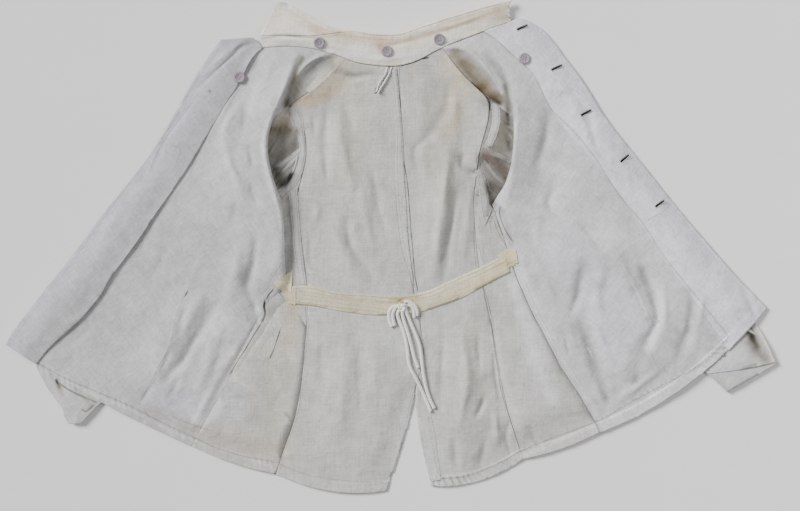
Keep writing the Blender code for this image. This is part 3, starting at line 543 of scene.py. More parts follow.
# %% Hem puckers
Pucker = namedtuple("Pucker", "route height pitch")
HEM_LEFT = ((38, 362), (63, 376), (90, 388), (130, 405), (160, 421), (190, 435), (215, 447),
            (240, 455), (260, 459), (278, 463))
HEM_MIDDLE = ((278, 463), (300, 472), (320, 477), (352, 481), (386, 482))
HEM_RIGHT = ((431, 478), (445, 478), (470, 475), (505, 460), (520, 451), (560, 435), (600, 420),
             (620, 408), (660, 386), (700, 364), (715, 351), (727, 337))
PUCKERS = table(
    Pucker,
    (HEM_LEFT, 0.45, 11.5),
    (HEM_MIDDLE, 0.15, 12.5),
    (HEM_RIGHT, 1.4, 9.6),
)
print("puckered hems:", len(PUCKERS))

# %% [markdown]
# ## Height of the cloth
#
# The height of every point is a sum: a loft that lets troughs sink without reaching the table, a
# slight ripple, the wide swells, the rolls, the folds and the puckers. Because it is a function
# of the place alone, layers that lie on each other rise together and don't cut through.

# %% Height of the cloth
OUTLINE = (
    ((262, 31), (250, 38), (222, 41), (202, 70), (172, 120), (129, 180), (72, 260), (8, 344),
     (38, 364)),
    HEM_LEFT, HEM_MIDDLE, ((386, 490), (398, 448), (414, 398), (424, 430), (431, 484)), HEM_RIGHT,
    ((727, 337), (766, 308), (720, 262), (655, 182), (595, 100), (552, 42), (530, 18), (512, 18)),
)
OUTLINE_STEP = 12 * MM
LOFT = 5.5 * MM
EDGE_LOFT = 1.2 * MM
LOFT_REACH = 42 * MM
FOLD_SCALE = 1.6
STEEPEST = 0.6
SOFT_FLOOR = 1.0 * MM
BELL = 0.75
BELL_REACH = 2.4
PUCKER_REACH = 18 * MM
PUCKER_INSIDE, PUCKER_OUTSIDE = 12, 3


def ripple(places):
    """The slight unevenness of washed cloth that has dried flat."""
    x, y = places[:, 0] / MM, places[:, 1] / MM
    wide = np.sin(x / 29 + 1.3 * np.sin(y / 47)) * np.sin(y / 34 + 0.9 * np.sin(x / 41))
    close = np.sin((x + 0.6 * y) / 11 + 2 * np.sin(y / 23)) * np.sin((y - 0.4 * x) / 14)
    fine = np.sin((x - y) / 6.1 + 2 * np.sin(y / 17)) * np.sin((x + 1.4 * y) / 7.3 + np.sin(x / 19))
    return (0.7 * wide + 0.4 * close + 0.16 * fine) * MM


def near(places, route, reach):
    low, high = route.min(0) - reach, route.max(0) + reach
    return np.where(((places > low) & (places < high)).all(1))[0]


def met(places, rows, reach):
    """For each row, the places its route comes near, and how far across and along it they lie."""
    for number, row in enumerate(rows):
        route = smooth(row.route)
        inside = near(places, route, reach(row))
        if len(inside):
            yield number, row, inside, *beside(places[inside], route)


def spread_of(crease):
    return BELL * crease.half * MM


def bell_reach(crease):
    return BELL_REACH * spread_of(crease)


def raised(places, creases, steepness=9.0):
    rise = np.zeros(len(places))
    for number, crease, inside, across, along, whole in met(places, creases, bell_reach):
        spread = spread_of(crease)
        most = steepness * spread
        height = most * np.tanh(crease.height * MM / most)
        ends = np.sin(pi * np.clip(along / whole, 0.02, 0.98)) ** 0.6
        uneven = 1 + 0.22 * np.sin(along / (31 * MM) + 1.7 * number)
        wander = 1 + 0.25 * np.sin(along / (17 * MM) + number)
        bell = np.exp(-(across * wander / spread) ** 2)
        rise[inside] += height * bell * ends * uneven
    return rise


def puckered(places):
    rise = np.zeros(len(places))
    for _, pucker, inside, across, along, _ in met(places, PUCKERS, lambda row: PUCKER_REACH):
        off = np.abs(across) / MM
        window = np.where(across < 0, np.exp(-(off / PUCKER_INSIDE) ** 4),
                          np.exp(-(off / PUCKER_OUTSIDE) ** 2))
        drift = 0.5 * np.sin(along / (37 * MM)) + 0.4 * np.sin(along / (13 * MM) + 1)
        turns = along / (pucker.pitch * MM) + 0.05 * across / MM + drift
        strength = 0.6 + 0.25 * np.sin(along / (53 * MM)) + 0.3 * np.sin(along / (19 * MM))
        rise[inside] += pucker.height * MM * window * strength * np.sin(2 * pi * turns)
    return rise


def soft(t):
    """From 0 to 1, with a gentle start and end."""
    return t * t * (3 - 2 * t)


def loft(places):
    """The cloth stands a little off the table away from its outline, so that troughs have room."""
    distance = np.full(len(places), 9.0)
    for edge in OUTLINE:
        distance = np.minimum(distance, np.abs(beside(places, smooth(edge, OUTLINE_STEP))[0]))
    t = np.clip(distance / LOFT_REACH, 0, 1)
    return EDGE_LOFT + (LOFT - EDGE_LOFT) * soft(t)


def relief(places):
    rise = loft(places) + ripple(places) + puckered(places)
    rise += raised(places, SWELLS) + raised(places, ROLLS)
    rise += FOLD_SCALE * raised(places, FOLDS, STEEPEST)
    return (rise + np.sqrt(rise ** 2 + SOFT_FLOOR ** 2)) / 2


print("the cloth stands", round(relief(np.zeros((1, 2)))[0] / MM, 1), "mm up in the middle")

# %% [markdown]
# ## Seams, pressed edges and pocket outlines
#
# A line is thin and dark where two pieces of cloth meet, or where a thread has sunk in: dust
# along the seams, and painted shade where a gap or a slit stands open. It is painted on the
# points as a distance, which stays sharp between them, where a colour would blur.
# Dark says how strong a line is, and width is its half width in millimetres. The long seams are
# named, because rows of stitches follow them too.

# %% Seams
SIDE_BACK_LEFT = ((298, 190), (299, 210), (302, 248), (308, 284))
SIDE_BACK_LEFT_LOW = ((306, 305), (307, 328), (307, 345), (303, 370), (300, 404), (295, 419),
                      (287, 441), (278, 463))
SIDE_BACK_RIGHT = ((490, 101), (491, 116), (487, 132), (483, 142), (479, 155), (476, 161),
                   (478, 172), (474, 192), (474, 223), (474, 245), (476, 266))
SIDE_BACK_RIGHT_LOW = ((482, 284), (490, 310), (493, 338), (497, 365), (501, 390), (510, 419),
                       (520, 449))
CENTRE_SEAM = ((397, 68), (400, 100), (402, 130), (403, 155), (407, 180), (409, 200), (411, 230),
               (413, 252), (415, 275), (418, 292))
CENTRE_SEAM_LOW = ((420, 312), (421, 344), (422, 372), (420, 398))
SLIT_TOP = ((275.5, 288), (270, 294), (266.5, 301))
SLIT = ((266.5, 299), (264.8, 306), (265.8, 314), (262, 323))
SLIT_LOW = ((262, 323), (255, 334), (246, 349), (238, 361), (230, 375))
SIDE_RIGHT = ((512, 264), (517, 279), (525, 297), (533, 315), (541, 329), (548, 343), (562, 369),
              (578, 393), (589, 411), (599, 428))
ARMHOLE_LEFT = ((293, 108), (300, 120), (305, 132), (307, 150), (306, 163), (303, 175), (300, 184),
                (292, 191), (283, 201))
NECK_LINE = ((265, 48), (296, 47), (319, 51), (335, 56), (354, 64), (370, 66), (399, 67), (420, 61),
             (436, 51), (451, 43), (465, 40), (484, 33), (507, 25))
POCKET_LEFT = ((183, 303), (177, 320), (171, 346), (160, 367), (150, 386), (142, 400))
FACING_EDGE_RIGHT = FACING_FLAT[0].route
seam_length = np.hypot(*np.diff(smooth(CENTRE_SEAM), axis=0).T).sum()
print("centre back seam above the tape:", round(seam_length / MM), "mm")

# %% [markdown]
# ## Lines
#
# The short lines are the slit in the left front, painted shade in its open gap, the edges of
# hidden pockets that press through, and stitching that has pulled in round the armholes and the
# tape. Beside the right armhole and the tape's end, some dark lines are painted shade in hollows.

# %% Lines
Line = namedtuple("Line", "route dark width")
BODY_LINES = table(
    Line,
    (((190, 290), (188, 293), (186, 297)), 0.85, 1.7),
    (POCKET_LEFT, 0.3, 0.7),
    (((170, 415), (195, 425), (213, 431)), 0.3, 0.7),
    (((170, 146), (182, 149), (180, 158)), 0.16, 0.6),
    (((192, 105), (172, 131), (160, 150), (150, 174)), 0.22, 0.7),
    (((283, 264), (277, 272), (271, 281)), 0.5, 0.6),
    (((279, 264), (274, 271), (270, 278)), 0.35, 0.5),
    (((262, 56), (256, 66), (251, 76)), 0.3, 0.6),
    # Painted shade in the open slit of the left front.
    (SLIT_TOP, 0.9, 1.3),
    (SLIT, 1.0, 2.4),
    (SLIT_LOW, 0.85, 1.3),
    (((281, 329), (277, 341), (274, 350), (270, 359)), 0.85, 1.3),
    (((622, 262), (634, 286), (652, 325)), 0.35, 0.6),
    (((619, 264), (630, 288), (648, 326)), 0.22, 0.5),
    (((642, 224), (650, 218), (660, 213), (670, 205)), 0.4, 0.6),
    (((655, 364), (648, 350), (644, 338)), 0.25, 0.6),
    (FACING_EDGE_RIGHT, 0.5, 0.7),
    (((516, 266), (526, 286), (538, 312), (556, 345), (582, 385)), 0.2, 0.6),
    (SIDE_RIGHT, 0.6, 1.0),
    (HEM_LEFT, 0.5, 0.7),
    (HEM_MIDDLE, 0.28, 0.6),
    (HEM_RIGHT, 0.55, 0.7),
    (CENTRE_SEAM, 0.9, 1.1),
    (((392, 74), (395, 100), (398, 130), (398, 160), (396, 190), (398, 220), (402, 250),
      (411, 277)), 0.3, 0.6),
    (CENTRE_SEAM_LOW, 0.5, 0.7),
    (SIDE_BACK_LEFT, 0.5, 0.7),
    (SIDE_BACK_LEFT_LOW, 0.5, 0.7),
    (SIDE_BACK_RIGHT, 0.6, 0.8),
    (SIDE_BACK_RIGHT_LOW, 0.62, 0.9),
    (((483, 245), (483, 263)), 0.3, 0.6),
    (ARMHOLE_LEFT, 0.45, 0.7),
    # Painted shade in the hollows beside the right armhole and the tape's end.
    (((492.5, 210), (489, 218), (485, 227)), 0.8, 1.7),
    (((500, 206), (499, 213), (502, 224), (507, 234), (513, 243)), 0.75, 1.3),
    (((494, 220), (497, 230), (502, 240), (507, 247)), 0.5, 0.9),
    (((386, 67), (392, 68)), 0.95, 1.8),
    (((386, 77), (388, 74)), 0.8, 1.2),
    (((505, 252), (510, 260), (511, 268)), 0.8, 1.2),
    (((511, 268), (520, 262)), 0.6, 0.8),
    (((421, 60), (430, 58)), 0.95, 1.8),
    (((400, 67), (412, 64), (422, 60)), 0.5, 0.9),
)
TAPE_LINES = table(
    Line,
    (((291, 289), (311, 288), (337, 294), (369, 296), (391, 298), (416, 296), (433, 291),
      (451, 282), (467, 275), (488, 265), (504, 258)), 0.22, 0.5),
    (((290, 293), (337, 299), (391, 303), (433, 296), (467, 281), (506, 262)), 0.16, 0.5),
    (((290, 301), (337, 307), (390, 312), (437, 303), (478, 286), (509, 268)), 0.24, 0.5),
    (((303, 288), (303, 302)), 0.3, 0.6),
    (((397, 299.5), (400, 301), (403, 301.5)), 1.0, 2.6),
)
COLLAR_LINES = table(
    Line,
    (((262, 40), (282, 37), (314, 39), (340, 37)), 0.25, 0.7),
    (((272, 10), (290, 12), (318, 28), (350, 37), (400, 41), (440, 27), (500, 8)), 0.14, 0.5),
)
print("lines:", len(BODY_LINES) + len(TAPE_LINES) + len(COLLAR_LINES))

# %% [markdown]
# ## Stains, painted shade and painted light
#
# Old linen yellows where it was worn against the skin and takes on colour from rust and soil.
# Each mark is a short route with a half width in millimetres, a colour and a strength, and a
# later mark lies over the earlier ones. The grey and brown marks are painted shade in the hollows
# under the rolled fronts, in the armholes and along the troughs of folds, and the palest marks
# are painted light on the rolls' edges and the tops of folds. Some broad grey and pale marks only
# make an area darker or lighter.

# %% Marks
Mark = namedtuple("Mark", "route half hexed strength")
# SOOT_AND_SHADE and SHADE_BROWN also serve as painted shade deep in the hollows.
TAN, YELLOW, ROSE, SHADE_BROWN, SOOT_AND_SHADE = "#CDBB9D", "#CDC9B2", "#CDB9AC", "#5E4F40", "#2A2622"
LILAC, PALE, SHADE = "#C9C8D4", "#DEDEDD", "#6B6862"
BODY_MARKS = table(
    Mark,
    (((215, 48), (180, 120), (110, 220), (50, 290), (10, 345)), 26, LILAC, 0.55),
    (((520, 17), (590, 95), (660, 190), (720, 270), (760, 310)), 26, LILAC, 0.5),
    (((570, 255), (600, 290), (620, 330)), 50, LILAC, 0.35),
    (((232, 440), (262, 450), (276, 452)), 26, ROSE, 0.5),
    (((186, 420), (215, 434), (240, 440)), 20, ROSE, 0.3),
    (((282, 350), (276, 390), (262, 430)), 26, YELLOW, 0.4),
    (((292, 300), (292, 320), (288, 340)), 16, TAN, 0.45),
    (((290, 286), (294, 312)), 9, "#B9A283", 0.45),
    (((170, 396), (200, 412), (232, 408), (256, 380)), 26, LILAC, 0.35),
    (((150, 394), (180, 404)), 20, LILAC, 0.35),
    (((232, 390), (232, 391)), 2.4, SOOT_AND_SHADE, 0.6),
    (((239, 396), (239.5, 396)), 2.6, SOOT_AND_SHADE, 0.55),
    (((210.5, 92), (211, 92)), 2.6, SOOT_AND_SHADE, 0.95),
    (((289, 416), (289.5, 416)), 3, SOOT_AND_SHADE, 0.85),
    (((600, 405), (640, 383), (668, 368)), 9, PALE, 0.5),
    (((520, 456), (560, 440), (620, 413), (700, 369)), 4, "#E6E5E4", 0.5),
    (((140, 412), (190, 430), (262, 452)), 15, "#B4AFA6", 0.5),
    (((70, 384), (130, 409), (190, 439), (272, 466)), 3, "#D6D6D8", 0.5),
    (((262, 376), (258, 424)), 28, "#ADA9A0", 0.55),
    (((234, 360), (262, 350), (276, 372)), 20, "#C6C1B0", 0.35),
    # Painted light on the tops of folds, and painted shade in their troughs.
    (((690, 350), (700, 356)), 12, PALE, 0.4),
    (((640, 268), (652, 306), (644, 345), (634, 380)), 6, SHADE, 0.4),
    (((579, 268), (573, 300)), 7, SHADE, 0.2),
    (((253, 245), (246, 284)), 7, SHADE, 0.22),
    (((180, 350), (165, 378)), 7, SHADE, 0.2),
    # Painted shade in the left shoulder valley, under the rolls and beside their edges, and painted
    # light along the rolls' edges.
    (((303, 59), (297, 74), (291, 90), (287, 104)), 5, "#76715C", 0.7),
    (((330, 60), (315, 69), (304, 84), (296, 98)), 9, "#84827B", 0.6),
    (((300, 84), (293, 96), (288, 105)), 8, "#7A745F", 0.55),
    (((289, 101), (286, 107)), 4, SOOT_AND_SHADE, 0.45),
    (((296, 55), (289, 74), (281, 96), (277, 112)), 4, "#D2D2D2", 0.7),
    (((272, 120), (265, 142), (266, 162), (272, 186), (280, 208), (285, 236), (286, 262)), 4.5,
     "#DCDCDE", 0.75),
    (((289, 200), (292, 240), (292, 270), (293, 291)), 6, "#8A857A", 0.55),
    (((486, 58), (498, 74), (506, 92), (509, 118)), 9, "#8B8984", 0.75),
    (((503, 88), (508, 108), (509, 134)), 4.5, "#6B6862", 0.7),
    (((514, 84), (516, 110), (515, 140)), 3.5, "#DADADC", 0.7),
    (((513, 140), (511, 170), (506, 190), (502, 203)), 4, "#BEBEC0", 0.6),
    (((345, 60), (334, 78), (320, 92)), 22, "#C6B68F", 0.45),
    (((302, 103), (318, 99), (338, 84)), 12, "#CFB894", 0.5),
    (((341, 88), (344, 92)), 8, ROSE, 0.4),
    (((356, 92), (350, 130), (346, 170)), 26, YELLOW, 0.35),
    # Painted shade beside a fold of the back.
    (((330, 66), (348, 74), (370, 73)), 8, SHADE, 0.3),
    (((452, 62), (456, 90), (452, 128)), 22, "#CDBB98", 0.55),
    (((462, 78), (482, 95)), 6, "#C3AF83", 0.4),
    (((448, 150), (446, 200)), 22, YELLOW, 0.3),
    (((432, 84), (432, 160)), 30, "#ACA79D", 0.6),
    (((512, 280), (524, 318), (536, 362), (552, 396)), 15, "#E2E1E4", 0.6),
    # Painted shade in the troughs of the right front's folds, and painted light on their tops.
    (((577, 320), (587, 343), (596, 368), (606, 398)), 7, SHADE, 0.45),
    (((560, 290), (566, 318), (572, 330)), 16, SHADE, 0.12),
    (((636, 266), (649, 306), (642, 328), (630, 354), (627, 379)), 7, SHADE, 0.22),
    (((662, 296), (655, 320), (648, 345)), 10, "#EDEDF0", 0.6),
    (((594, 300), (600, 330), (612, 366)), 14, "#E9E8EE", 0.6),
    (((686, 290), (688, 322), (680, 350)), 8, SHADE, 0.25),
    (((620, 258), (628, 276), (632, 290)), 10, SHADE, 0.22),
    (((545, 100), (540, 150), (530, 200)), 12, SHADE, 0.1),
    (((585, 120), (600, 160), (612, 176)), 12, SHADE, 0.12),
    # Painted light on ridges of the left front, and painted shade in troughs.
    (((240, 100), (226, 140), (236, 180)), 12, "#E0E0E2", 0.35),
    (((204, 300), (190, 330), (176, 352)), 14, SHADE, 0.12),
    (((222, 318), (206, 352), (196, 384)), 12, "#DEDEE4", 0.35),
    (((452, 190), (446, 230), (442, 262)), 6, SHADE, 0.15),
    (((286, 400), (276, 430), (286, 452)), 22, YELLOW, 0.3),
    (((340, 440), (345, 470)), 22, YELLOW, 0.25),
    (((382, 94), (384, 96)), 5, SHADE, 0.55),
    (((388, 118), (390, 119)), 4, ROSE, 0.4),
    (((410, 66), (412, 78)), 8, TAN, 0.35),
    (((470, 330), (474, 400)), 24, YELLOW, 0.22),
    (((445, 380), (470, 420), (468, 460)), 30, "#B2B1AE", 0.4),
    # Painted shade in the hollow of the right armhole, with a pale strip along an allowance.
    (((480, 158), (492, 162), (506, 166)), 9, "#86756A", 0.8),
    (((486, 190), (492, 204)), 7, SHADE_BROWN, 0.7),
    (((488, 166), (494, 175), (500, 181)), 2.6, PALE, 0.5),
    (((460, 158), (464, 168), (474, 172)), 7, SHADE, 0.35),
)
print("marks of the body:", len(BODY_MARKS))

# %% [markdown]
# ## Marks of the fronts, back and collar
#
# The fronts have painted shade in the hollow under the right roll and painted light beside it,
# the back some rust at the yoke, and the collar the warm brown of its wear.

# %% Marks of the fronts, back and collar
FRONT_MARKS = BODY_MARKS + table(
    Mark,
    # Painted shade in the hollow under the right roll with a painted highlight along its ridge,
    # painted shade beside the right end of the tape, and painted light on the left front over the
    # pressed seam.
    (((456, 56), (468, 66), (480, 78), (490, 90), (499, 101)), 13, "#8A8270", 0.95),
    (((460, 64), (470, 75), (482, 88), (494, 99)), 8.5, "#66583F", 0.95),
    (((472, 84), (485, 95), (499, 104)), 4.5, "#3F3527", 0.95),
    (((460, 50), (478, 58), (491, 74), (501, 94)), 3, "#C9C7C2", 0.8),
    (((500, 208), (506, 226), (511, 244)), 5, "#8F8E8B", 0.5),
    (((494, 212), (489, 221)), 4, "#77736B", 0.5),
    (((259, 310), (243, 334), (224, 366), (208, 396), (196, 420)), 9, "#EDEDF0", 0.85),
)
BACK_MARKS = BODY_MARKS + table(
    Mark,
    (((311, 97), (298, 102), (287, 107)), 4, "#A9855C", 0.5),
    (((306, 104), (322, 100), (340, 92)), 9, "#D2BC98", 0.15),
    (((468, 172), (474, 200), (472, 240)), 6, "#A5A49F", 0.4),
)
COLLAR_MARKS = table(
    Mark,
    (((318, 33), (350, 38), (400, 43), (440, 31), (500, 12)), 8, "#E0C4A4", 0.6),
    (((300, 48), (340, 56), (380, 62), (430, 50)), 5, "#EBEAEE", 0.5),
    (((352, 60), (380, 64), (400, 64)), 4, "#E4D8B6", 0.5),
    (((296, 18), (330, 34), (370, 40)), 9, "#D9C6A9", 0.4),
    (((310, 28), (324, 32)), 7, "#E2C4AC", 0.55),
    (((278, 8), (272, 28)), 14, "#DDD5C4", 0.5),
    (((284, 6), (290, 14)), 6, LILAC, 0.4),
    (((380, 49), (383, 52)), 6, "#B48B6C", 0.6),
    (((375, 40), (392, 43)), 9, "#DCBA9E", 0.6),
    (((410, 38), (414, 42)), 6, "#D2B78E", 0.35),
    (((262, 40), (300, 44), (400, 58), (470, 38)), 7, PALE, 0.55),
    (((440, 24), (470, 18), (505, 8)), 8, "#DAC9A9", 0.45),
    (((500, 16), (510, 20)), 7, "#CDBB93", 0.45),
)
print("marks of the collar:", len(COLLAR_MARKS))

# %% [markdown]
# ## Marks of the sleeves and the tape
#
# Only the cuffs and the insides of the armholes show of the sleeves. The cuffs' dark marks are
# painted shadow under the fronts' hems and painted shade in their open mouths, and the armholes'
# marks are painted shade, the darkest of all.

# %% Marks of the sleeves and the tape
CUFF_MARKS = table(
    Mark,
    # Painted shadow under the left front's hem, painted shade in the cuff's mouth and in a curl of
    # the hem, and the cuff's own lilac tone.
    (((58, 382), (75, 392), (97, 402)), 1.8, "#5A554C", 0.7),
    (((57, 380), (60, 387)), 3, SOOT_AND_SHADE, 0.85),
    (((60, 386), (62, 394)), 5, "#8E8A78", 0.6),
    (((83, 409), (87, 411), (94, 405)), 1.8, "#6B665F", 0.7),
    (((44, 372), (56, 392), (64, 405)), 4, LILAC, 0.6),
    # Painted shade in the right cuff's open mouth, a pale line along its edge, painted shadow under
    # the hem, and its lilac tone.
    (((748, 342), (756, 352), (764, 358)), 10, "#8D8881", 0.75),
    (((748, 331), (751, 337), (756, 346)), 8, "#4A4236", 0.95),
    (((749, 329), (751, 336)), 5, "#2E2820", 0.9),
    (((758, 323), (765, 340), (773, 359)), 4.5, "#F4F0E8", 0.95),
    (((724, 351), (724.5, 356)), 2, SHADE, 0.8),
    (((739, 370), (744, 367), (754, 364)), 2.5, "#6B645A", 0.7),
    (((722, 366), (735, 378)), 9, LILAC, 0.5),
)
HOLLOW_MARKS = table(
    Mark,
    # Painted shade deep in both armholes, and a few lighter marks near the left roll, painted light
    # where its shadow falls too deep.
    (((503, 104), (502, 124), (500, 150)), 12, "#7C766B", 0.85),
    (((508, 104), (508, 128), (509, 150)), 5, "#514B43", 0.85),
    (((484, 160), (496, 172), (506, 184)), 18, "#6A655D", 0.9),
    (((484, 156), (494, 162), (508, 170)), 7, "#655850", 0.9),
    (((488, 186), (491, 198), (495, 208)), 10, "#423E38", 0.95),
    (((497, 184), (502, 196)), 10, "#57534D", 0.85),
    (((506, 176), (507, 190)), 5, "#4C4843", 0.8),
    (((488, 165), (495, 175), (504, 184)), 2, PALE, 0.6),
    (((276, 100), (284, 106)), 5, "#6A6450", 0.9),
    (((270, 140), (276, 150), (284, 146)), 13, "#9B988E", 0.8),
    (((277, 112), (286, 116)), 13, "#D8C6B8", 0.95),
    (((273, 122), (285, 124)), 9, "#B3A896", 0.85),
    (((266, 130), (278, 130), (288, 131), (296, 132)), 8, "#7A6C55", 0.9),
    (((291, 130), (294, 131)), 3, SHADE_BROWN, 0.7),
    (((276, 158), (290, 150)), 8, "#77746B", 0.8),
    (((276, 172), (282, 180)), 9, "#5B5946", 0.85),
    (((274, 168), (278, 182)), 9, "#5C5A49", 0.7),
    (((278, 185), (286, 184), (292, 174)), 6, SOOT_AND_SHADE, 0.95),
    (((296, 136), (294, 148)), 5, SHADE, 0.5),
    (((486, 150), (498, 157), (510, 164)), 7, "#817A70", 0.75),
    (((484, 166), (494, 178), (506, 188)), 6, "#857F76", 0.8),
    (((479, 176), (483, 196), (485, 214)), 7, "#98958F", 0.6),
    (((496, 160), (505, 176), (506, 190)), 6, "#5E5850", 0.75),
)
SLEEVE_MARKS = CUFF_MARKS + table(
    Mark,
    # Painted shade over the sleeves inside both armholes.
    (((268, 150), (282, 148), (296, 146)), 36, "#7D7A70", 0.85),
    (((498, 110), (496, 178), (498, 205)), 34, "#6E6A62", 0.9),
) + HOLLOW_MARKS
TAPE_MARKS = table(
    Mark,
    (((286, 286), (290, 302)), 9, "#C2AA86", 0.45),
    (((394, 298), (404, 303)), 8, "#A08E68", 0.45),
    (((405, 296), (416, 297)), 5, "#B9926A", 0.35),
    (((425, 294), (460, 281), (500, 263)), 14, "#EFE4C4", 0.7),
    (((278, 283), (287, 284)), 11, "#F0E5C6", 0.8),
    (((498, 266), (510, 262)), 8, "#C8B588", 0.5),
    (((330, 300), (370, 306)), 9, ROSE, 0.35),
)
print("marks of the sleeves:", len(SLEEVE_MARKS))

# %% [markdown]
# ## Cloth shells
#
# A panel of the frame is a closed wall of triangles. Its copy is merged, joined back into
# quads and smoothed with a Subdivision Surface, whose creased rims keep the panel's outline.
# Faces near hems, firm lines and narrow folds are cut up once more, so that those have points
# enough and the rest stays light.

# %% Copy and refine a panel
RIM_ANGLE = radians(58)
HEM_ANGLE = radians(20)
FLAT_ANGLE, SQUARE_ANGLE = radians(50), radians(80)
MERGE = 0.01 * MM
FINE_BAND = 5 * MM
HEM_BAND = 11 * MM
LINE_BAND = 3 * MM
FIRM_LINE = 0.35
SLEEVE_BAND = 24 * MM
SLEEVE_CUTS = 3
SLEEVE_ROUTES = (((278, 112), (282, 150), (284, 190)), ((500, 112), (497, 160), (493, 205)),
                 ((50, 372), (92, 402)), ((740, 330), (766, 364)))
UPPER = 0.2


def coarse_copy(name):
    shape = bmesh.new()
    shape.from_mesh(frame["nodes"][name].data)
    bmesh.ops.remove_doubles(shape, verts=shape.verts, dist=MERGE)
    bmesh.ops.join_triangles(shape, faces=shape.faces, angle_face_threshold=FLAT_ANGLE,
                             angle_shape_threshold=SQUARE_ANGLE)
    crease = shape.edges.layers.float.new("crease_edge")
    for edge in shape.edges:
        if len(edge.link_faces) != 2:
            continue
        way = edge.verts[1].co - edge.verts[0].co
        angle = edge.calc_face_angle()
        if angle > RIM_ANGLE or (angle > HEM_ANGLE and abs(way.x) > abs(way.y)):
            edge[crease] = 1
    return shape


def mesh_of(name, shape):
    mesh = bpy.data.meshes.new(name)
    shape.to_mesh(mesh)
    shape.free()
    return mesh


def as_object(name, shape):
    return placed(name, mesh_of(name, shape))


def applied(piece):
    view = bpy.context.evaluated_depsgraph_get()
    done = bpy.data.meshes.new_from_object(piece.evaluated_get(view))
    bpy.data.objects.remove(piece)
    return done


def refined(name, levels):
    piece = as_object(name + "_coarse", coarse_copy(name))
    fine = piece.modifiers.new("fine", "SUBSURF")
    fine.levels = fine.render_levels = levels
    fine.quality = 2
    return applied(piece)


def split_near(mesh, routes, band, cuts=1):
    """Cut up the faces that lie near some routes, so that narrow forms find enough points."""
    shape = bmesh.new()
    shape.from_mesh(mesh)
    upper = [f for f in shape.faces if f.normal.z > UPPER]
    middles = np.array([f.calc_center_median()[:2] for f in upper])
    chosen = np.zeros(len(upper), bool)
    for route in routes:
        line = smooth(route)
        inside = near(middles, line, band)
        if len(inside):
            chosen[inside] |= np.abs(beside(middles[inside], line)[0]) < band
    edges = {e for f, taken in zip(upper, chosen) if taken for e in f.edges}
    if edges:
        bmesh.ops.subdivide_edges(shape, edges=list(edges), cuts=cuts, use_grid_fill=True)
    shape.to_mesh(mesh)
    shape.free()


sample = coarse_copy("front_left")
print("before it is refined, the left front has", len(sample.faces), "faces")
sample.free()

# %% [markdown]
# ## Lift and paint a panel
#
# Then every point is lifted by the folds, and the attributes for the material are painted on.
# Points are read and written as whole arrays, which is far faster than one by one. The panels
# that lie on the table keep their flat underside.

# %% Lift and paint a panel
TABLE_CLEAR = 0.05 * MM
WALL = 1.2 * MM
STILL, MOVING = 0.3 * WALL, 0.5 * WALL
SOAKED = 0.25
DOWNWARD = -0.2
MARK_REACH = 2.2
MARK_FALL = 1.2
LINE_REACH = 12 * MM
LINE_END = 4 * MM
LINE_FAR, LINE_FADE = 8 * MM, 2 * MM


def points_of(mesh, what="co"):
    flat = np.empty(len(mesh.vertices) * 3)
    mesh.vertices.foreach_get(what, flat)
    return flat.reshape(-1, 3)


def lift(mesh, rests, own):
    """Raise the cloth by the folds, and by those of this piece alone, but not below the table."""
    points = points_of(mesh)
    rise = relief(points[:, :2])
    if rests:
        rise *= np.clip((points[:, 2] - STILL) / MOVING, 0, 1)
    rise += raised(points[:, :2], own)
    points[:, 2] = np.maximum(points[:, 2] + rise, np.minimum(points[:, 2], TABLE_CLEAR))
    mesh.vertices.foreach_set("co", points.ravel())
    mesh.update()


def mark_reach(mark):
    return MARK_REACH * mark.half * MM


def paint_stains_and_light(mesh, marks):
    """Lay the marks over each other. The underside takes on only a part of their colour."""
    # The marks are stains, and also painted shade and painted light.
    places = points_of(mesh)[:, :2]
    stain_and_painted_light = np.zeros((len(places), 4))
    patchy = np.sin(places[:, 0] / (7 * MM) + 2 * np.sin(places[:, 1] / (9 * MM)))
    soaked = np.where(points_of(mesh, "normal")[:, 2] < DOWNWARD, SOAKED, 1.0)
    for _, mark, inside, across, _, _ in met(places, marks, mark_reach):
        bell = np.exp(-MARK_FALL * (across / (mark.half * MM)) ** 2)
        amount = mark.strength * bell * (1 + 0.18 * patchy[inside])
        amount = np.clip(amount * soaked[inside], 0, 1)[:, None]
        tint = np.array(colour(mark.hexed)[:3])
        held = stain_and_painted_light[inside]
        total = held[:, 3:] * (1 - amount) + amount
        mixed = held[:, :3] * held[:, 3:] * (1 - amount) + tint * amount
        stain_and_painted_light[inside] = np.hstack((mixed / np.maximum(total, 1e-6), total))
    mesh.attributes.new("stain_and_painted_light", "FLOAT_COLOR", "POINT").data.foreach_set("color", stain_and_painted_light.ravel())


def seamed(mesh, lines):
    """Paint how far each point lies from its nearest line, in widths, and how dark that is."""
    places = points_of(mesh)[:, :2]
    nearest = np.full(len(places), 9.0)
    seam = np.full(len(places), 9.0)
    dark = np.zeros(len(places))
    for _, line, inside, across, along, whole in met(places, lines, lambda line: LINE_REACH):
        closer = np.abs(across) < nearest[inside]
        kept = inside[closer]
        nearest[kept] = np.abs(across)[closer]
        seam[kept] = (across / (line.width * MM))[closer]
        fade = np.clip(np.minimum(along, whole - along) / LINE_END + 0.05, 0, 1)
        fade *= np.clip((LINE_FAR - np.abs(across)) / LINE_FADE, 0, 1)
        dark[kept] = (line.dark * fade * (0.85 + 0.15 * np.sin(along / (6 * MM))))[closer]
    mesh.attributes.new("seam", "FLOAT", "POINT").data.foreach_set("value", seam)
    mesh.attributes.new("seam_dark", "FLOAT", "POINT").data.foreach_set("value", dark)


print("a seam's line is drawn up to", round(LINE_FAR / MM), "mm beside it")

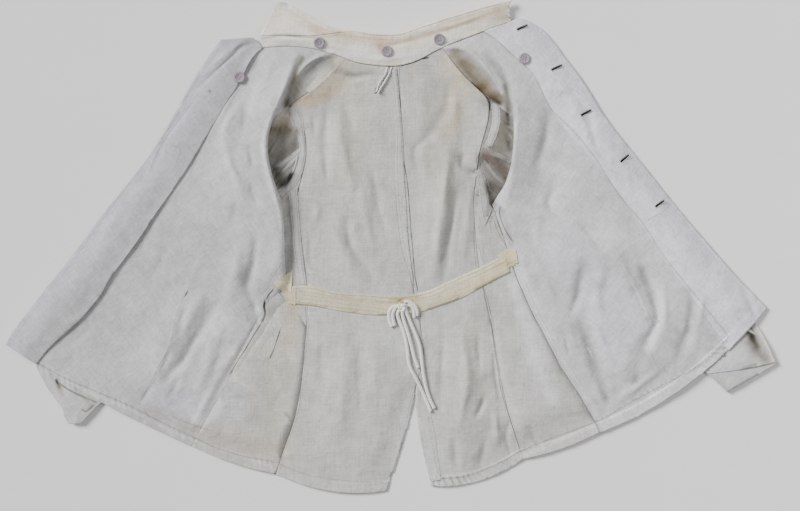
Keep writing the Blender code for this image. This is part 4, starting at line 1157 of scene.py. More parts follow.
# %% [markdown]
# ## Make a shell
#
# A finished piece gets its finish, rides on the one body and fills a slot of materials. Each
# shell replaces its panel in the frame, and a search tree remembers its surface, so that what
# lies on it can be laid down later.

# %% Make a shell
trees = {}


def finished(name, mesh, finish, sharp=50):
    mesh.materials.clear()
    mesh.materials.append(finish)
    mesh.shade_smooth()
    mesh.set_sharp_from_angle(angle=radians(sharp))
    piece = placed(name, mesh)
    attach(piece, "root")
    return piece


def remember(name, mesh):
    faces = [tuple(p.vertices) for p in mesh.polygons]
    trees[name] = BVHTree.FromPolygons(points_of(mesh).tolist(), faces)


NARROW = tuple(c.route for c in FOLDS if c.half <= 4)
HEMS = (HEM_LEFT, HEM_MIDDLE, HEM_RIGHT)


def shell(name, levels, finish, marks=(), lines=(), own=(), detail=True, routes=()):
    mesh = refined(name, levels)
    if routes:
        split_near(mesh, routes, SLEEVE_BAND, SLEEVE_CUTS)
    elif detail:
        split_near(mesh, [line.route for line in lines if line.dark > FIRM_LINE], LINE_BAND)
        split_near(mesh, NARROW, FINE_BAND)
        split_near(mesh, HEMS, HEM_BAND)
    rests = name.startswith(("back", "side", "sleeve_under"))
    lift(mesh, rests, own)
    paint_stains_and_light(mesh, marks)
    seamed(mesh, lines)
    remember(name, mesh)
    piece = finished(name + "_cloth", mesh, finish)
    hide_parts(name)
    print(name, "has", len(mesh.polygons), "faces")
    return piece


# %% [markdown]
# ## Panels, facings and sleeves
#
# Left and right are made by one loop. The left front has folds of its own: it is pressed down
# over a seam below it and has a slit there. Its pocket, which is hidden under it, follows the
# same seam, so that the two stay one above the other.

# %% Panels, facings and sleeves
pieces = {}
SIDES = {
    "left": (linen_left, linen_edge_left_shaded, SEAM_PRESSED + SLIT_LIPS, FACING_LIFT + FACING_PRESSED),
    "right": (linen_right_lit, linen_edge_right_lit, (), FACING_FLAT),
}
for side, (finish, edge_finish, front_own, facing_own) in SIDES.items():
    front, facing, pocket = (part + side for part in ("front_", "facing_", "pocket_"))
    pieces[front] = shell(front, 3, finish, FRONT_MARKS, BODY_LINES, front_own)
    pieces[facing] = shell(facing, 3, edge_finish, BODY_MARKS, BODY_LINES, facing_own)
    pieces[pocket] = shell(pocket, 2, finish, own=front_own[:len(SEAM_PRESSED)],
                           detail=False)
    for panel in ("back_" + side, "side_" + side):
        pieces[panel] = shell(panel, 3, linen_back, BACK_MARKS, BODY_LINES)
    for layer in ("sleeve_under_" + side, "sleeve_top_" + side):
        pieces[layer] = shell(layer, 3, linen_sleeve, SLEEVE_MARKS, routes=SLEEVE_ROUTES)
for name, levels in (("collar_stand", 3), ("collar_fall", 2)):
    pieces[name] = shell(name, levels, linen_collar, COLLAR_MARKS, COLLAR_LINES)
pieces["waist_tape"] = shell("waist_tape", 3, tape_cotton, TAPE_MARKS, TAPE_LINES,
                             detail=False)
pieces["hanger_loop"] = shell("hanger_loop", 2, selvedge, detail=False)
print("shells:", len(pieces))

# %% [markdown]
# ## The collar's torn end
#
# The right end of the collar has worn through. Its edge is pulled in along short bells. A row
# gives a place, how far its points move and over how much of the edge, both in millimetres.

# %% Torn end
Tear = namedtuple("Tear", "px py reach half")
TORN = table(
    Tear,
    (510.5, 8, -6.0, 6.0),
    (510.5, 14.5, -3.0, 2.5),
    (510.5, 18.5, -4.5, 2.0),
)
TORN_REACH = 14 * MM
for name in ("collar_stand", "collar_fall"):
    torn = pieces[name].data
    points = points_of(torn)
    for tear in TORN:
        x, y = at(tear.px, tear.py)
        ends = np.clip((points[:, 0] - x + TORN_REACH) / TORN_REACH, 0, 1)
        bell = np.exp(-((points[:, 1] - y) / (tear.half * MM)) ** 2)
        points[:, 0] += tear.reach * MM * ends ** 2 * bell
    torn.vertices.foreach_set("co", points.ravel())
    torn.update()
print("tears:", len(TORN))

# %% [markdown]
# ## Seam allowances and patches
#
# The inside of the tunic shows. Seam allowances lie beside their seams as narrow flat strips:
# a leaf at the centre back, where the allowance stands open, bands round the armholes, the
# turned edge of the vent and the ends of the waist tape. A maker cuts none of them: each is the
# edge of a panel, pressed to one side. Each is a grid, mapped along its route, laid on what
# is under it and thickened. A row gives the route, the widths along it in pixels, the panels it
# lies on, how far its middle and its edges stand up in millimetres, and how dark its seams are.

# %% Strips
Strip = namedtuple("Strip", "name route widths on bulge edge seams")
BACKS = ("back_left", "back_right", "side_left", "side_right")
SLEEVES = ("sleeve_top_left", "sleeve_top_right", "sleeve_under_left", "sleeve_under_right")
UNDER_ROLL = BACKS + SLEEVES
EVERY = tuple(trees)
LAID, SUNK = 0.5, -0.7
STRIPS = table(
    Strip,
    ("centre_allowance", ((394.5, 70), (397, 100), (399.5, 130), (400, 158), (401.5, 185),
                          (403, 205), (405, 228), (408, 252), (412, 274), (416, 290)),
     (5, 5, 5, 7, 10, 12, 11, 9, 5, 2), ("back_left",), 0.9, LAID, 0.3),
    ("side_back_allowance", ((293, 190), (295, 212), (298, 248), (303, 284)), (9, 8, 8, 7),
     UNDER_ROLL, 0.4, LAID, 0.4),
    ("armhole_left_allowance", ((291, 108), (296, 117), (300, 130), (303, 148), (301, 162),
                                (296, 175), (289, 186), (281, 196)),
     (9, 12, 8, 6, 8, 10, 11, 9), UNDER_ROLL, 0.8, LAID, 0.45),
    ("armhole_left_edge", ((298, 156), (295, 168), (289, 180), (279, 191)), (2.2, 2.6, 2.6, 2.4),
     UNDER_ROLL, 1.6, 1.0, 0),
    ("sleeve_left_seam", ((302, 149), (293, 157), (284, 163), (274, 168)), (4, 6, 6, 6),
     UNDER_ROLL, 0.9, LAID, 0.4),
    ("sleeve_left_edge", ((298, 157), (292, 163), (285, 170), (277, 177)), (2.5, 4, 4, 3),
     UNDER_ROLL, 1.4, 0.9, 0),
    ("armhole_right_allowance", ((495, 104), (496, 120), (493, 134), (488, 146)), (8, 8, 8, 7),
     UNDER_ROLL, 0.7, LAID, 0.45),
    ("armhole_right_seam", ((484, 145), (491, 154), (500, 158), (510, 163)), (5, 6, 6, 5),
     UNDER_ROLL, 1.2, LAID, 0.4),
    ("armhole_right_edge", ((484, 160), (490, 170), (498, 180), (506, 187)), (3, 4, 4, 3),
     UNDER_ROLL, 1.6, 0.9, 0),
    ("armhole_right_low", ((478, 170), (482, 184), (484, 200), (485, 216)), (7, 9, 9, 6),
     UNDER_ROLL, 0.9, LAID, 0.4),
    ("vent_right_facing", ((422, 404), (427, 425), (431, 450), (436, 480)), (12, 12, 11, 10),
     BACKS, 0.2, LAID, 0),
    ("vent_left_facing", ((411, 392), (405, 420), (398, 448), (391, 472)), (7, 7, 7, 6),
     BACKS, 0.2, LAID, 0),
)
COVERS = table(
    Strip,
    ("yoke_left_cover", ((345, 58), (332, 69), (319, 83), (309, 93)), (9, 12, 12, 9),
     ("back_left", "front_left"), 0.5, SUNK, 0),
    ("side_left_cover", ((283, 297), (271, 308), (262, 326), (249, 347), (234, 371)),
     (12, 13, 12, 9, 6), ("front_left", "side_left"), 0.4, SUNK, 0),
)
TAPE_ENDS = table(
    Strip,
    ("tape_end_left", ((296, 296), (290, 296), (286, 297)), (16, 16, 14), EVERY, 0.2, LAID, 0),
    ("tape_patch_left", ((292, 284), (284, 283.5), (275.5, 285)), (26, 18, 5), EVERY, 0.3, 0.7, 0),
    ("tape_end_right", ((502, 262), (506, 259), (511, 257), (516, 256)), (16, 18, 17, 13),
     EVERY, 0.9, LAID, 0.3),
)
print("strips to lay:", len(STRIPS) + len(COVERS) + len(TAPE_ENDS))

# %% [markdown]
# ## Lay the strips
#
# A ray that is shot straight down finds the cloth under a point. The strip is eased a few times
# along its route, so that it bridges what is narrow, as pressed cloth does.

# %% Lay the strips
STRIP_STEP = 1.6 * MM
STRIP_WALL = 0.7 * MM
STITCH_LINE = 0.62
STITCH_LINE_HALF = 0.5 * MM
FEELER = 1.2 * MM
EASINGS = 3
ABOVE = 100 * MM


def drape(x, y, on):
    """The height of the highest of some pieces at a place."""
    hits = (trees[name].ray_cast(Vector((x, y, ABOVE)), Vector((0, 0, -1)))[0] for name in on)
    return max((hit.z for hit in hits if hit), default=0)


def under(x, y, on):
    """The same, but also of the places right beside it."""
    sides = ((0, 0), (1, 0), (-1, 0), (0, 1), (0, -1))
    return max(drape(x + i * FEELER, y + j * FEELER, on) for i, j in sides)


def headings(line):
    """The unit way along a route, at each of its points."""
    ways = np.gradient(line, axis=0)
    return ways / np.linalg.norm(ways, axis=1)[:, None]


def ribbon(strip, finish, marks=(), lines=()):
    route = smooth(strip.route, STRIP_STEP)
    count = len(route) - 1
    spread = np.linspace(0, 1, len(strip.widths))
    half = np.interp(np.linspace(0, 1, count + 1), spread, strip.widths) * PIXEL / 2
    rows = max(4, round(2 * half.max() / STRIP_STEP))
    ways = headings(route)
    ts = np.linspace(-1, 1, rows + 1)
    steps = np.arange(count + 1)
    frayed = 1 + 0.07 * np.sin(1.9 * steps) + 0.05 * np.sin(0.83 * steps)
    off = ts[None, :] * (half * frayed)[:, None]
    xs = route[:, :1] - ways[:, 1:] * off
    ys = route[:, 1:] + ways[:, :1] * off
    ground = np.array([[under(x, y, strip.on) for x, y in zip(*pair)] for pair in zip(xs, ys)])
    ramp = ground[:, :1] * (1 - ts) / 2 + ground[:, -1:] * (1 + ts) / 2
    level = np.maximum(ground, ramp)
    for _ in range(EASINGS):
        eased = level.copy()
        eased[1:-1] = (level[:-2] + 2 * level[1:-1] + level[2:]) / 4
        level = np.maximum(ground, eased)
    level = np.maximum(level, STRIP_WALL)
    level += (strip.edge * ts ** 2 + (strip.bulge + max(strip.edge, 0)) * (1 - ts ** 2)) * MM
    shape = bmesh.new()
    line = shape.verts.layers.float.new("seam")
    dark = shape.verts.layers.float.new("seam_dark")
    bmesh.ops.create_grid(shape, x_segments=count, y_segments=rows, size=0.5)
    for vert in shape.verts:
        i, j = round((vert.co.x + 0.5) * count), round((vert.co.y + 0.5) * rows)
        vert[line] = (abs(ts[j]) - STITCH_LINE) * half[i] / STITCH_LINE_HALF
        vert[dark] = strip.seams
        vert.co = (xs[i, j], ys[i, j], level[i, j])
    bmesh.ops.recalc_face_normals(shape, faces=shape.faces)
    if sum(f.normal.z for f in shape.faces) < 0:
        bmesh.ops.reverse_faces(shape, faces=shape.faces)
    bmesh.ops.solidify(shape, geom=shape.faces[:], thickness=STRIP_WALL)
    bmesh.ops.recalc_face_normals(shape, faces=shape.faces)
    mesh = mesh_of(strip.name, shape)
    paint_stains_and_light(mesh, marks)
    if lines:
        for name in ("seam", "seam_dark"):
            mesh.attributes.remove(mesh.attributes[name])
        seamed(mesh, lines)
    remember(strip.name, mesh)
    return finished(strip.name, mesh, finish)


# The allowances in the armholes take the painted shade of the hollows.
for strip in STRIPS:
    marks = HOLLOW_MARKS[1:] if strip.name.startswith(("armhole", "sleeve")) else ()
    pieces[strip.name] = ribbon(strip, selvedge, marks)
for strip in COVERS:
    pieces[strip.name] = ribbon(strip, linen_back, FRONT_MARKS, BODY_LINES)
for strip in TAPE_ENDS:
    pieces[strip.name] = ribbon(strip, tape_cotton, TAPE_MARKS)
EVERY = tuple(trees)
print("pieces with a surface:", len(EVERY))

# %% [markdown]
# ## Sewing
#
# The tunic was sewn by machine with a lockstitch, about seven stitches to the inch. A row of
# stitches holds the facings, the hems, the tape and every flattened seam. Each row here is one
# mesh of short thread capsules, laid on the cloth that is under it. It runs beside a route, at an
# offset in millimetres to the left of its way, or to the right if that is negative. Waxed linen
# thread is dull, and its fibres show as fine specks of two tones.

# %% Stitches
Row = namedtuple("Row", "name route offset")
STITCH_PITCH = 3.4 * MM
STITCH_LENGTH = 2.6 * MM
STITCH_THICK = 0.6 * MM
STITCH_RISE = 0.15 * MM
FIBRES = 0.9 / MM
ROUND = 180


def two_tone(name, dark, light, roughness, pattern):
    """A finish in fine specks of two tones. The pattern is a noise texture's settings."""
    made, tree, shader = fresh(name)
    specks = node(tree, "ShaderNodeTexNoise", pattern).outputs[0]
    tone = node(tree, "ShaderNodeMix", {"Factor": specks, 6: colour(dark), 7: colour(light)},
                data_type="RGBA").outputs[2]
    tree.links.new(tone, shader.inputs["Base Color"])
    shader.inputs["Roughness"].default_value = roughness
    return made


thread = two_tone("linen_thread", "#A9A59C", "#C4C0B8", 0.85, {"Scale": FIBRES, "Detail": 2.0})
FACING_EDGE_LEFT = ((265, 49), (257, 57), (250, 64), (247, 76), (241, 86), (232, 99), (218, 122),
                    (207, 141), (195, 163), (183, 185), (160, 212), (133, 253), (110, 285),
                    (89, 311), (64, 332), (48, 349), (37, 362))
OUTER_LEFT = ((222, 42), (202, 70), (189, 90), (172, 120), (145, 160), (129, 180), (100, 220),
              (72, 260), (40, 300), (8, 344))
OUTER_RIGHT = ((530, 19), (552, 42), (578, 72), (595, 100), (621, 140), (655, 182), (686, 221),
               (720, 262), (757, 301), (764, 309))
TAPE_UPPER = ((287, 287), (311, 286), (337, 292), (369, 294), (391, 296), (416, 294), (433, 289),
              (451, 280), (467, 273), (479, 268), (488, 263), (504, 255))
TAPE_LOWER = ((285, 302), (311, 305), (337, 310), (369, 315), (390, 315), (419, 312), (437, 306),
              (458, 300), (478, 289), (488, 284), (502, 275), (512, 270))
ROWS = table(
    Row,
    ("facing_left_stitches", FACING_EDGE_LEFT, 2.5),
    ("facing_right_stitches", FACING_EDGE_RIGHT, -2.0),
    ("hem_left_stitches", HEM_LEFT, -1.6),
    ("hem_middle_stitches", HEM_MIDDLE, -1.6),
    ("hem_right_stitches", HEM_RIGHT, -1.6),
    ("side_back_left_stitches", SIDE_BACK_LEFT, 2.4),
    ("side_back_left_low_stitches", SIDE_BACK_LEFT_LOW, 2.2),
    ("side_back_right_stitches", SIDE_BACK_RIGHT, 2.4),
    ("side_back_right_low_stitches", SIDE_BACK_RIGHT_LOW, 2.2),
    ("side_right_stitches", SIDE_RIGHT, 3.2),
    ("centre_low_stitches", CENTRE_SEAM_LOW, -2.4),
    ("armhole_left_stitches", ARMHOLE_LEFT, -2.4),
    ("neck_stitches", NECK_LINE, 2.2),
    ("outer_left_stitches", OUTER_LEFT, 3.5),
    ("outer_right_stitches", OUTER_RIGHT, -3.5),
    ("tape_upper_stitches", TAPE_UPPER, -3.2),
    ("tape_lower_stitches", TAPE_LOWER, 3.2),
    ("tape_inner_stitches", TAPE_UPPER, -9.0),
    ("vent_stitches", ((415, 412), (420, 441), (425, 468), (431, 484)), 18.0),
)


def capsule(shape, start, end, thick):
    way = end - start
    turn = way.to_track_quat("X", "Z").to_matrix().to_4x4()
    size = Matrix.Diagonal((way.length / 2, thick / 2, thick / 2, 1))
    place = Matrix.Translation((start + end) / 2) @ turn @ size
    bmesh.ops.create_icosphere(shape, subdivisions=1, radius=1, matrix=place)


def even(route, pitch):
    """Places at an even distance along a route."""
    gaps = np.hypot(*np.diff(route, axis=0).T)
    travelled = np.concatenate(([0], np.cumsum(gaps)))
    marks = np.arange(0, travelled[-1], pitch)
    return np.column_stack([np.interp(marks, travelled, route[:, k]) for k in (0, 1)])


def sewn(row):
    line = even(smooth(row.route), STITCH_PITCH)
    shape = bmesh.new()
    for place, way in zip(line, headings(line)):
        middle = place + row.offset * MM * np.array((-way[1], way[0]))
        ends = [middle - way * STITCH_LENGTH / 2, middle + way * STITCH_LENGTH / 2]
        heights = [drape(x, y, EVERY) for x, y in ends]
        if min(heights) > 0:
            start, end = [Vector((x, y, z + STITCH_RISE)) for (x, y), z in zip(ends, heights)]
            capsule(shape, start, end, STITCH_THICK)
    return finished(row.name, mesh_of(row.name, shape), thread, ROUND)


for row in ROWS:
    pieces[row.name] = sewn(row)
print("rows of stitches:", len(ROWS))

# %% [markdown]
# ## Buttons
#
# The buttons are 18 mm composition buttons with a turned rim, a dished middle and four holes,
# sewn on by hand. One is turned by spinning its profile and drilled with a Boolean modifier, and
# copies of it go on each button of the frame. Composition is a matt, mottled, moulded stuff.

# %% Buttons
BUTTON = 18 * MM
BUTTON_THICK = 3 * MM
BUTTON_GAP = 0.4 * MM
BUTTON_TOP = 0.7 * BUTTON_THICK
BUTTON_SHARP = 35
HOLE_PLACE = 1.9 * MM
HOLE_SIZE = 0.85 * MM
DRILL_DEPTH = 12 * MM
SEWN_APART, SEWN_THICK = 0.3 * MM, 0.5 * MM
SHANK_TOP, SHANK_THICK = 0.2 * MM, 3 * MM
MOTTLES = 0.32 / MM
composition, button_tree, button_shader = fresh("composition_button")
button_place = node(button_tree, "ShaderNodeTexCoord").outputs["Object"]
mottled = node(button_tree, "ShaderNodeTexNoise", {"Vector": button_place, "Scale": MOTTLES,
                                                   "Detail": 4.0})
wear = node(button_tree, "ShaderNodeMapRange", {"Value": mottled.outputs[0], "From Min": 0.35,
                                                "From Max": 0.65})
button_tone = node(button_tree, "ShaderNodeMix", {"Factor": wear.outputs[0], 6: colour("#867D87"),
                                                  7: colour("#A79EA8")}, data_type="RGBA")
button_tree.links.new(button_tone.outputs[2], button_shader.inputs["Base Color"])
button_shader.inputs["Roughness"].default_value = 0.75
button_shader.inputs["Specular IOR Level"].default_value = 0.25


def button_mesh():
    """One button. Its profile is given in parts of the radius and of the thickness."""
    radius = BUTTON / 2
    profile = ((0.0, 0.66), (0.40, 0.67), (0.56, 0.72), (0.66, 0.86), (0.74, 0.97), (0.84, 1.0),
               (0.95, 0.86), (1.0, 0.5), (0.93, 0.2), (0.8, 0.0), (0.0, 0.0))
    shape = bmesh.new()
    verts = [shape.verts.new((r * radius, 0, z * BUTTON_THICK)) for r, z in profile]
    edges = [shape.edges.new(pair) for pair in zip(verts, verts[1:])]
    bmesh.ops.spin(shape, geom=verts + edges, cent=(0, 0, 0), axis=(0, 0, 1), angle=2 * pi,
                   steps=40, use_merge=True)
    bmesh.ops.remove_doubles(shape, verts=shape.verts, dist=MERGE)
    bmesh.ops.recalc_face_normals(shape, faces=shape.faces)
    blank = as_object("button_blank", shape)
    shape = bmesh.new()
    for x in (-1, 1):
        for y in (-1, 1):
            place = Matrix.Translation((x * HOLE_PLACE, y * HOLE_PLACE, 0))
            bmesh.ops.create_cone(shape, cap_ends=True, segments=12, radius1=HOLE_SIZE,
                                  radius2=HOLE_SIZE, depth=DRILL_DEPTH, matrix=place)
    drill = as_object("button_drill", shape)
    holes = blank.modifiers.new("holes", "BOOLEAN")
    holes.object = drill
    holes.solver = "EXACT"
    done = applied(blank)
    bpy.data.objects.remove(drill)
    return done


drilled = button_mesh()


def button(name, on, twist):
    """Sew a button on at a node's place, turned with it, or face down under the cloth."""
    points = points_of(frame["nodes"][name].data)
    middle = (points.min(0) + points.max(0)) / 2
    flat = np.linalg.svd(points - points.mean(0), full_matrices=False)[2][2]
    up = Vector(flat) * (1 if flat[2] > 0 else -1)
    if on:
        base = Vector((middle[0], middle[1], drape(middle[0], middle[1], on) + BUTTON_GAP))
    else:
        up, base = Vector((0, 0, -1)), Vector((middle[0], middle[1], BUTTON_THICK))
    turn = up.to_track_quat("Z", "Y").to_matrix().to_4x4() @ Matrix.Rotation(twist, 4, "Z")
    place = Matrix.Translation(base) @ turn
    shape = bmesh.new()
    shape.from_mesh(drilled)
    bmesh.ops.transform(shape, matrix=place, verts=shape.verts)
    disc = finished(name + "_turned", mesh_of(name, shape), composition, BUTTON_SHARP)
    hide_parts(name)
    shape = bmesh.new()
    for y in (-1, 1):
        for apart in (-SEWN_APART, SEWN_APART):
            ends = [Vector((x * HOLE_PLACE, y * HOLE_PLACE + apart, BUTTON_TOP)) for x in (-1, 1)]
            capsule(shape, *ends, SEWN_THICK)
    capsule(shape, Vector((0, 0, -BUTTON_GAP)), Vector((0, 0, SHANK_TOP)), SHANK_THICK)
    bmesh.ops.transform(shape, matrix=place, verts=shape.verts)
    finished(name + "_thread", mesh_of(name + "_thread", shape), thread, ROUND)


for number in range(1, 4):
    button(f"button_band_{number}", ("collar_stand", "collar_fall"), 0.5 * number)
for side in ("left", "right"):
    button(f"button_facing_{side}", ("facing_" + side, "front_" + side), 0.7)
for number in range(1, 6):
    button(f"button_front_{number}", (), 0.9 * number)
print("one button has", len(drilled.polygons), "faces")

# %% [markdown]
# ## Buttonholes
#
# A buttonhole is a slit in the right front's edge, worked round with a close blanket stitch. The
# slit is filled with a nearly black grid, painted shade in the open slit, wider at one end, where
# the button has pulled. The stitches are capsules that fan out from it. A row gives a hole's
# middle in pixels, its tilt in degrees and its length in millimetres.

# %% Buttonholes
Hole = namedtuple("Hole", "px py tilt length")
HOLES = table(
    Hole,
    (521.9, 28.3, 24, 17),
    (556.3, 68.3, 26, 18),
    (585.6, 113.3, 28, 19.6),
    (623.8, 158.9, 40, 18),
    (658.8, 203.9, 35, 17),
)
HOLE_HALF = 1.9 * MM
LIP = 0.55 * MM
LIP_SUNK = 0.3 * MM
PURL_GAP, PURL_OUT, PURL_PAST = 0.3 * MM, 3.4 * MM, 0.8 * MM
PURL_RISE, PURL_THICK = 0.1 * MM, 0.8 * MM
PURLS = 9
BESIDE_HOLE = 6 * MM
SLIT_SPECKS = 0.5 / MM
RIGHT_EDGE = ("facing_right", "front_right")
# A nearly black finish for the grid in the slit: painted shade.
slit_shade = two_tone("buttonhole_slit_shade", "#161513", "#2C2A27", 1.0, {"Scale": SLIT_SPECKS})


def on_hole(hole, along, across):
    turn = radians(hole.tilt)
    x, y = at(hole.px, hole.py)
    return x + along * cos(turn) - across * sin(turn), y + along * sin(turn) + across * cos(turn)


def lips(u):
    """Half the slit's opening, from its left end (-1) to its right end (1)."""
    return HOLE_HALF * (0.62 - 0.38 * u) * (1 - u ** 4) + 0.15 * MM


for number, hole in enumerate(HOLES, 1):
    reach = hole.length * MM / 2
    beside_it = [drape(*on_hole(hole, 0, v * BESIDE_HOLE), RIGHT_EDGE) for v in (-1, 1)]
    level = sum(beside_it) / 2
    shape = bmesh.new()
    bmesh.ops.create_grid(shape, x_segments=14, y_segments=6, size=0.5)
    for vert in shape.verts:
        u, v = 2 * vert.co.x, 2 * vert.co.y
        x, y = on_hole(hole, u * reach, v * lips(u))
        sunk = LIP_SUNK * (1 - abs(v)) * (1 - u ** 4)
        vert.co = (x, y, (drape(x, y, RIGHT_EDGE) or level) + LIP - sunk)
    name = f"buttonhole_{number}"
    finished(name, mesh_of(name, shape), slit_shade, ROUND)
    shape = bmesh.new()
    for i in range(-PURLS, PURLS + 1):
        for v in (-1, 1):
            u = i / PURLS
            inner = on_hole(hole, u * reach, v * (lips(u) + PURL_GAP))
            outer = on_hole(hole, u * (reach + PURL_PAST), v * PURL_OUT)
            ends = [Vector((x, y, drape(x, y, RIGHT_EDGE) or level)) for x, y in (inner, outer)]
            ends[0].z = ends[1].z = max(e.z for e in ends) + PURL_RISE
            capsule(shape, *ends, PURL_THICK)
    name = f"buttonhole_stitch_{number}"
    finished(name, mesh_of(name, shape), thread, ROUND)
print("buttonholes:", len(HOLES))

# %% [markdown]
# ## Drawstring
#
# A soft tubular cotton cord runs inside the waist tape and comes out at an eyelet, where its
# ends are knotted. Three ends lie free, and two short ears lie beside the knot. Each strand
# repeats the frame's route, in millimetres, laid on the tape and the back. An ear is a doubled
# cord, so a second strand lies beside its first. Cords are curves with a round bevel, which stay
# light and even. The material's waves stand for the braid, drawn coarser than it is.

# %% Cords
CORD = 5.5 * MM
CORD_STEP = 3 * MM
CORD_GAP = 0.1 * MM
CORD_REST = 4.25 * MM
CORD_EASINGS = 3
TAPE_RISE = 1.8 * MM
TAPE_LOW, TAPE_SLOPE = -112 * MM, 16 * MM
STRAND_SHIFT = np.array((-2, 0))
BRAID_RIDGES = 0.19 / MM
WAIST = ("back_left", "back_right", "side_left", "side_right", "waist_tape")
STRANDS = {
    "drawstring_a": ((15, -100), (12, -107), (15, -118), (21, -133), (27, -158), (31, -188),
                     (43, -212), (55, -238), (65, -262)),
    "drawstring_b": ((20, -99), (20, -108), (23, -120), (29, -138), (34, -156), (39, -176),
                     (45, -192)),
    "drawstring_c": ((24, -98), (27, -106), (32, -118), (38, -132), (46, -152), (50, -172),
                     (52, -192), (56, -216), (62, -238), (70.5, -257)),
    "drawstring_ear_left": ((10.5, -94), (5, -95), (-1, -103), (-1, -116), (3, -127)),
    "drawstring_ear_right": ((28, -92), (34, -94), (38, -101), (39, -112)),
}
EAR_BACKS = {
    "left": ((12, -93), (8, -98), (4.5, -106), (5, -116), (7.5, -125)),
    "right": ((22, -87), (30, -87), (38, -92), (43, -100), (43.5, -109)),
}
cotton, cotton_tree, cotton_shader = fresh("cotton_cord")
cord_place = node(cotton_tree, "ShaderNodeTexCoord").outputs["Object"]
braid = node(cotton_tree, "ShaderNodeTexWave", {"Vector": cord_place, "Scale": BRAID_RIDGES,
                                                "Distortion": 5.0, "Detail": 2.0,
                                                "Detail Scale": 2.0},
             bands_direction="DIAGONAL").outputs[1]
cord_tone = node(cotton_tree, "ShaderNodeMix", {"Factor": braid, 6: colour("#DDDCD4"),
                                                7: colour("#FBFAF6")}, data_type="RGBA")
cotton_tree.links.new(cord_tone.outputs[2], cotton_shader.inputs["Base Color"])
cord_bump = node(cotton_tree, "ShaderNodeBump", {"Height": braid, "Strength": 0.6,
                                                 "Distance": 0.5 * MM})
cotton_tree.links.new(cord_bump.outputs[0], cotton_shader.inputs["Normal"])
cotton_shader.inputs["Roughness"].default_value = 0.9


def tube(name, line, thick, closed=False):
    path = bpy.data.curves.new(name, "CURVE")
    path.dimensions = "3D"
    path.bevel_depth = thick / 2
    path.bevel_resolution = 4
    path.use_fill_caps = True
    spline = path.splines.new("POLY")
    spline.points.add(len(line) - 1)
    spline.points.foreach_set("co", [c for p in line for c in (*p, 1)])
    spline.use_cyclic_u = closed
    spline.use_smooth = True
    path.materials.append(cotton)
    made = placed(name, path)
    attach(made, "root")
    return made


def strand_line(route):
    flat = curve([(place + STRAND_SHIFT) * MM for place in np.array(route)], CORD_STEP)
    on_tape = 1 - soft(np.clip((TAPE_LOW - flat[:, 1]) / TAPE_SLOPE, 0, 1))
    surface = np.array([drape(x, y, WAIST) for x, y in flat])
    z = np.maximum(surface + CORD / 2 + CORD_GAP, CORD_REST + TAPE_RISE * on_tape)
    kernel = np.array((0.25, 0.5, 0.25))
    for _ in range(CORD_EASINGS):
        z[1:-1] = np.convolve(z, kernel, "valid")
    return np.column_stack((flat, z))


strands = {}
for name, route in STRANDS.items():
    line = strand_line(route)
    strands[name] = tube(name + "_cord", line, CORD), line
    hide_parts(name)
doubled = [tube(f"drawstring_ear_{side}_back", strand_line(route), CORD)
           for side, route in EAR_BACKS.items()]
print("strands:", len(strands) + len(doubled))

# %% [markdown]
# ## Knot
#
# The knot is the same cord wound over itself, and pulled so tight that it is thinner. A trefoil
# is the simplest knot, and three sines draw it.

# %% Knot
KNOT = np.array((17.5, -96)) * MM
KNOT_LIFT = 3.8 * MM
KNOT_WIDE, KNOT_TALL, KNOT_DEEP = 2.4 * MM, 1.9 * MM, 1.5 * MM
KNOT_CORD = 4.6 * MM
turns = np.linspace(0, 2 * pi, 48, endpoint=False)
knot_line = np.column_stack((
    KNOT[0] + KNOT_WIDE * (np.sin(turns) + 2 * np.sin(2 * turns)),
    KNOT[1] + KNOT_TALL * (np.cos(turns) - 2 * np.cos(2 * turns)),
    drape(*KNOT, WAIST) + KNOT_LIFT - KNOT_DEEP * np.sin(3 * turns)))
knot = tube("drawstring_knot_cord", knot_line, KNOT_CORD, closed=True)
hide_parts("drawstring_knot")
print("knot:", round(np.ptp(knot_line[:, 0]) / MM), "mm wide")

# %% [markdown]
# ## Legs of the hanger loop
#
# The loop at the back neck is held by two thin legs of cord, twisted a little along their way.

# %% Legs of the hanger loop
LOOP_LEGS = (((387.5, 68), (385.5, 74), (381, 81), (378, 87), (377, 92)),
             ((391.5, 68), (389, 75), (385, 82), (380.5, 89), (378, 93.5)))
LOOP_THICK = 2.8 * MM
LOOP_STEP = 1.5 * MM
LOOP_TWIST = 0.4 * MM
for number, leg in enumerate(LOOP_LEGS, 1):
    flat = smooth(leg, LOOP_STEP)
    twist = LOOP_TWIST * np.sin(np.arange(len(flat)) * 1.7)
    z = max(drape(x, y, ("back_left", "back_right", "hanger_loop")) for x, y in flat)
    line = np.column_stack((flat[:, 0] + twist, flat[:, 1], z + LOOP_THICK / 3 + twist))
    tube(f"hanger_loop_leg_{number}", line, LOOP_THICK)
print("legs:", len(LOOP_LEGS))

# %% [markdown]
# ## Lengths of the strands
#
# The length of each strand is measured along its line and printed.

# %% Lengths of the strands
SHORTEST = 6.2 * CORD
for name, (strand, line) in strands.items():
    length = float(np.linalg.norm(np.diff(line, axis=0), axis=1).sum())
    print(name, "is", round(length / MM), "mm long")
    if length > SHORTEST:
        tuple(line[0])

# %% [markdown]
# ## What each sheet was cut to
#
# The flat size of a panel is the box round its cut, and its area is that of the cloth that lies
# in it. A sleeve is a tube, so its two layers are listed one by one.

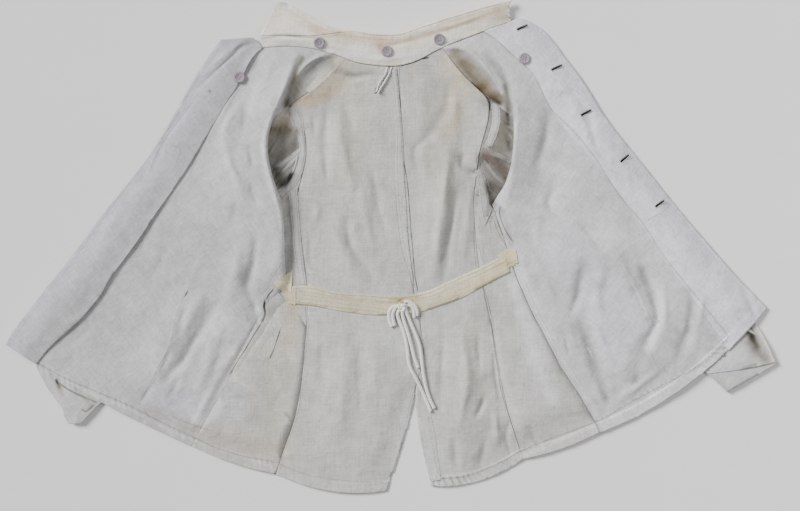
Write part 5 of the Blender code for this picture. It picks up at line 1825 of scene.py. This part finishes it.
# %% Sheets
Cut = namedtuple("Cut", "size area on goes_with")
CUTS = {
    "back_left": Cut((0.234, 0.693), 0.1164, (), ("centre_allowance", "vent_left_facing",
                                                  "yoke_left_cover")),
    "back_right": Cut((0.167, 0.698), 0.0844, (), ("vent_right_facing", "vent_stitches")),
    "side_left": Cut((0.144, 0.444), 0.0381, (), ("side_back_allowance", "side_left_cover")),
    "side_right": Cut((0.130, 0.432), 0.0328, (), ()),
    "front_left": Cut((0.340, 0.669), 0.1772, ("sleeve_top_left",), ("hem_left_stitches",)),
    "front_right": Cut((0.331, 0.665), 0.1604, ("sleeve_top_right",), ("hem_right_stitches",)),
    "facing_left": Cut((0.088, 0.624), 0.0424, ("front_left",), ("facing_left_stitches",)),
    "facing_right": Cut((0.090, 0.626), 0.0412, ("front_right",), ("facing_right_stitches",)),
    "pocket_left": Cut((0.106, 0.240), 0.0209, (), ()),
    "pocket_right": Cut((0.157, 0.207), 0.0289, (), ()),
    "sleeve_top_left": Cut((0.153, 0.584), 0.0661, ("sleeve_under_left",),
                           ("armhole_left_allowance", "armhole_left_edge", "sleeve_left_seam",
                            "sleeve_left_edge")),
    "sleeve_top_right": Cut((0.174, 0.584), 0.0750, ("sleeve_under_right",),
                            ("armhole_right_allowance", "armhole_right_seam", "armhole_right_edge",
                             "armhole_right_low")),
    "sleeve_under_left": Cut((0.153, 0.613), 0.0759, (), ()),
    "sleeve_under_right": Cut((0.174, 0.623), 0.0869, (), ()),
    "collar_stand": Cut((0.081, 0.406), 0.0149, (), ("neck_stitches",)),
    "collar_fall": Cut((0.103, 0.403), 0.0217, (), ()),
    "waist_tape": Cut((0.032, 0.360), 0.0112, ("back_left", "back_right"),
                      ("tape_end_left", "tape_patch_left", "tape_end_right",
                       "tape_upper_stitches", "tape_lower_stitches",
                       "tape_inner_stitches")),
}
for name, cut in CUTS.items():
    [pieces[other] for other in cut.on]
    [pieces[other] for other in cut.goes_with]
print("sheets:", len(CUTS))

# %% [markdown]
# ## Light and floor
#
# Broad soft light comes from both sides, a little stronger from the upper left. One large soft
# sun stands there, an area lamp stands on the right, and a pale room fills the rest. The tunic
# lies on plain pale paper.

# %% Stage
FLOOR_HALF = 3.2
FLOOR_LOW = -0.2 * MM
ROOM_LIGHT = 0.34
PAPER_GRAINS = 0.06 / MM
floor_shape = bmesh.new()
bmesh.ops.create_grid(floor_shape, x_segments=2, y_segments=2, size=FLOOR_HALF)
floor = as_object("floor", floor_shape)
floor.location.z = FLOOR_LOW
paper = two_tone("paper_backdrop", "#ECECEA", "#F0F0EE", 0.95,
                 {"Scale": PAPER_GRAINS, "Detail": 3.0})
floor.data.materials.append(paper)

Lamp = namedtuple("Lamp", "kind place size strength")
LAMPS = table(
    Lamp,
    ("SUN", (-2.2, 1.3, 1.75), radians(24), 5.1),
    ("AREA", (1.6, 0.2, 1.9), 1.4, 15),
)
for number, lamp in enumerate(LAMPS):
    light = bpy.data.lights.new(f"softbox_{number}", lamp.kind)
    light.energy = lamp.strength
    if lamp.kind == "SUN":
        light.angle = lamp.size
    else:
        light.size = lamp.size
    box = placed(f"softbox_{number}", light)
    box.location = lamp.place
    box.rotation_euler = (-Vector(lamp.place)).to_track_quat("-Z", "Y").to_euler()
world = bpy.data.worlds.new("studio")
world.use_nodes = True
room = world.node_tree.nodes["Background"]
room.inputs["Color"].default_value = colour("#F4F5F8")
room.inputs["Strength"].default_value = ROOM_LIGHT
bpy.context.scene.world = world
print("lamps:", len(LAMPS))
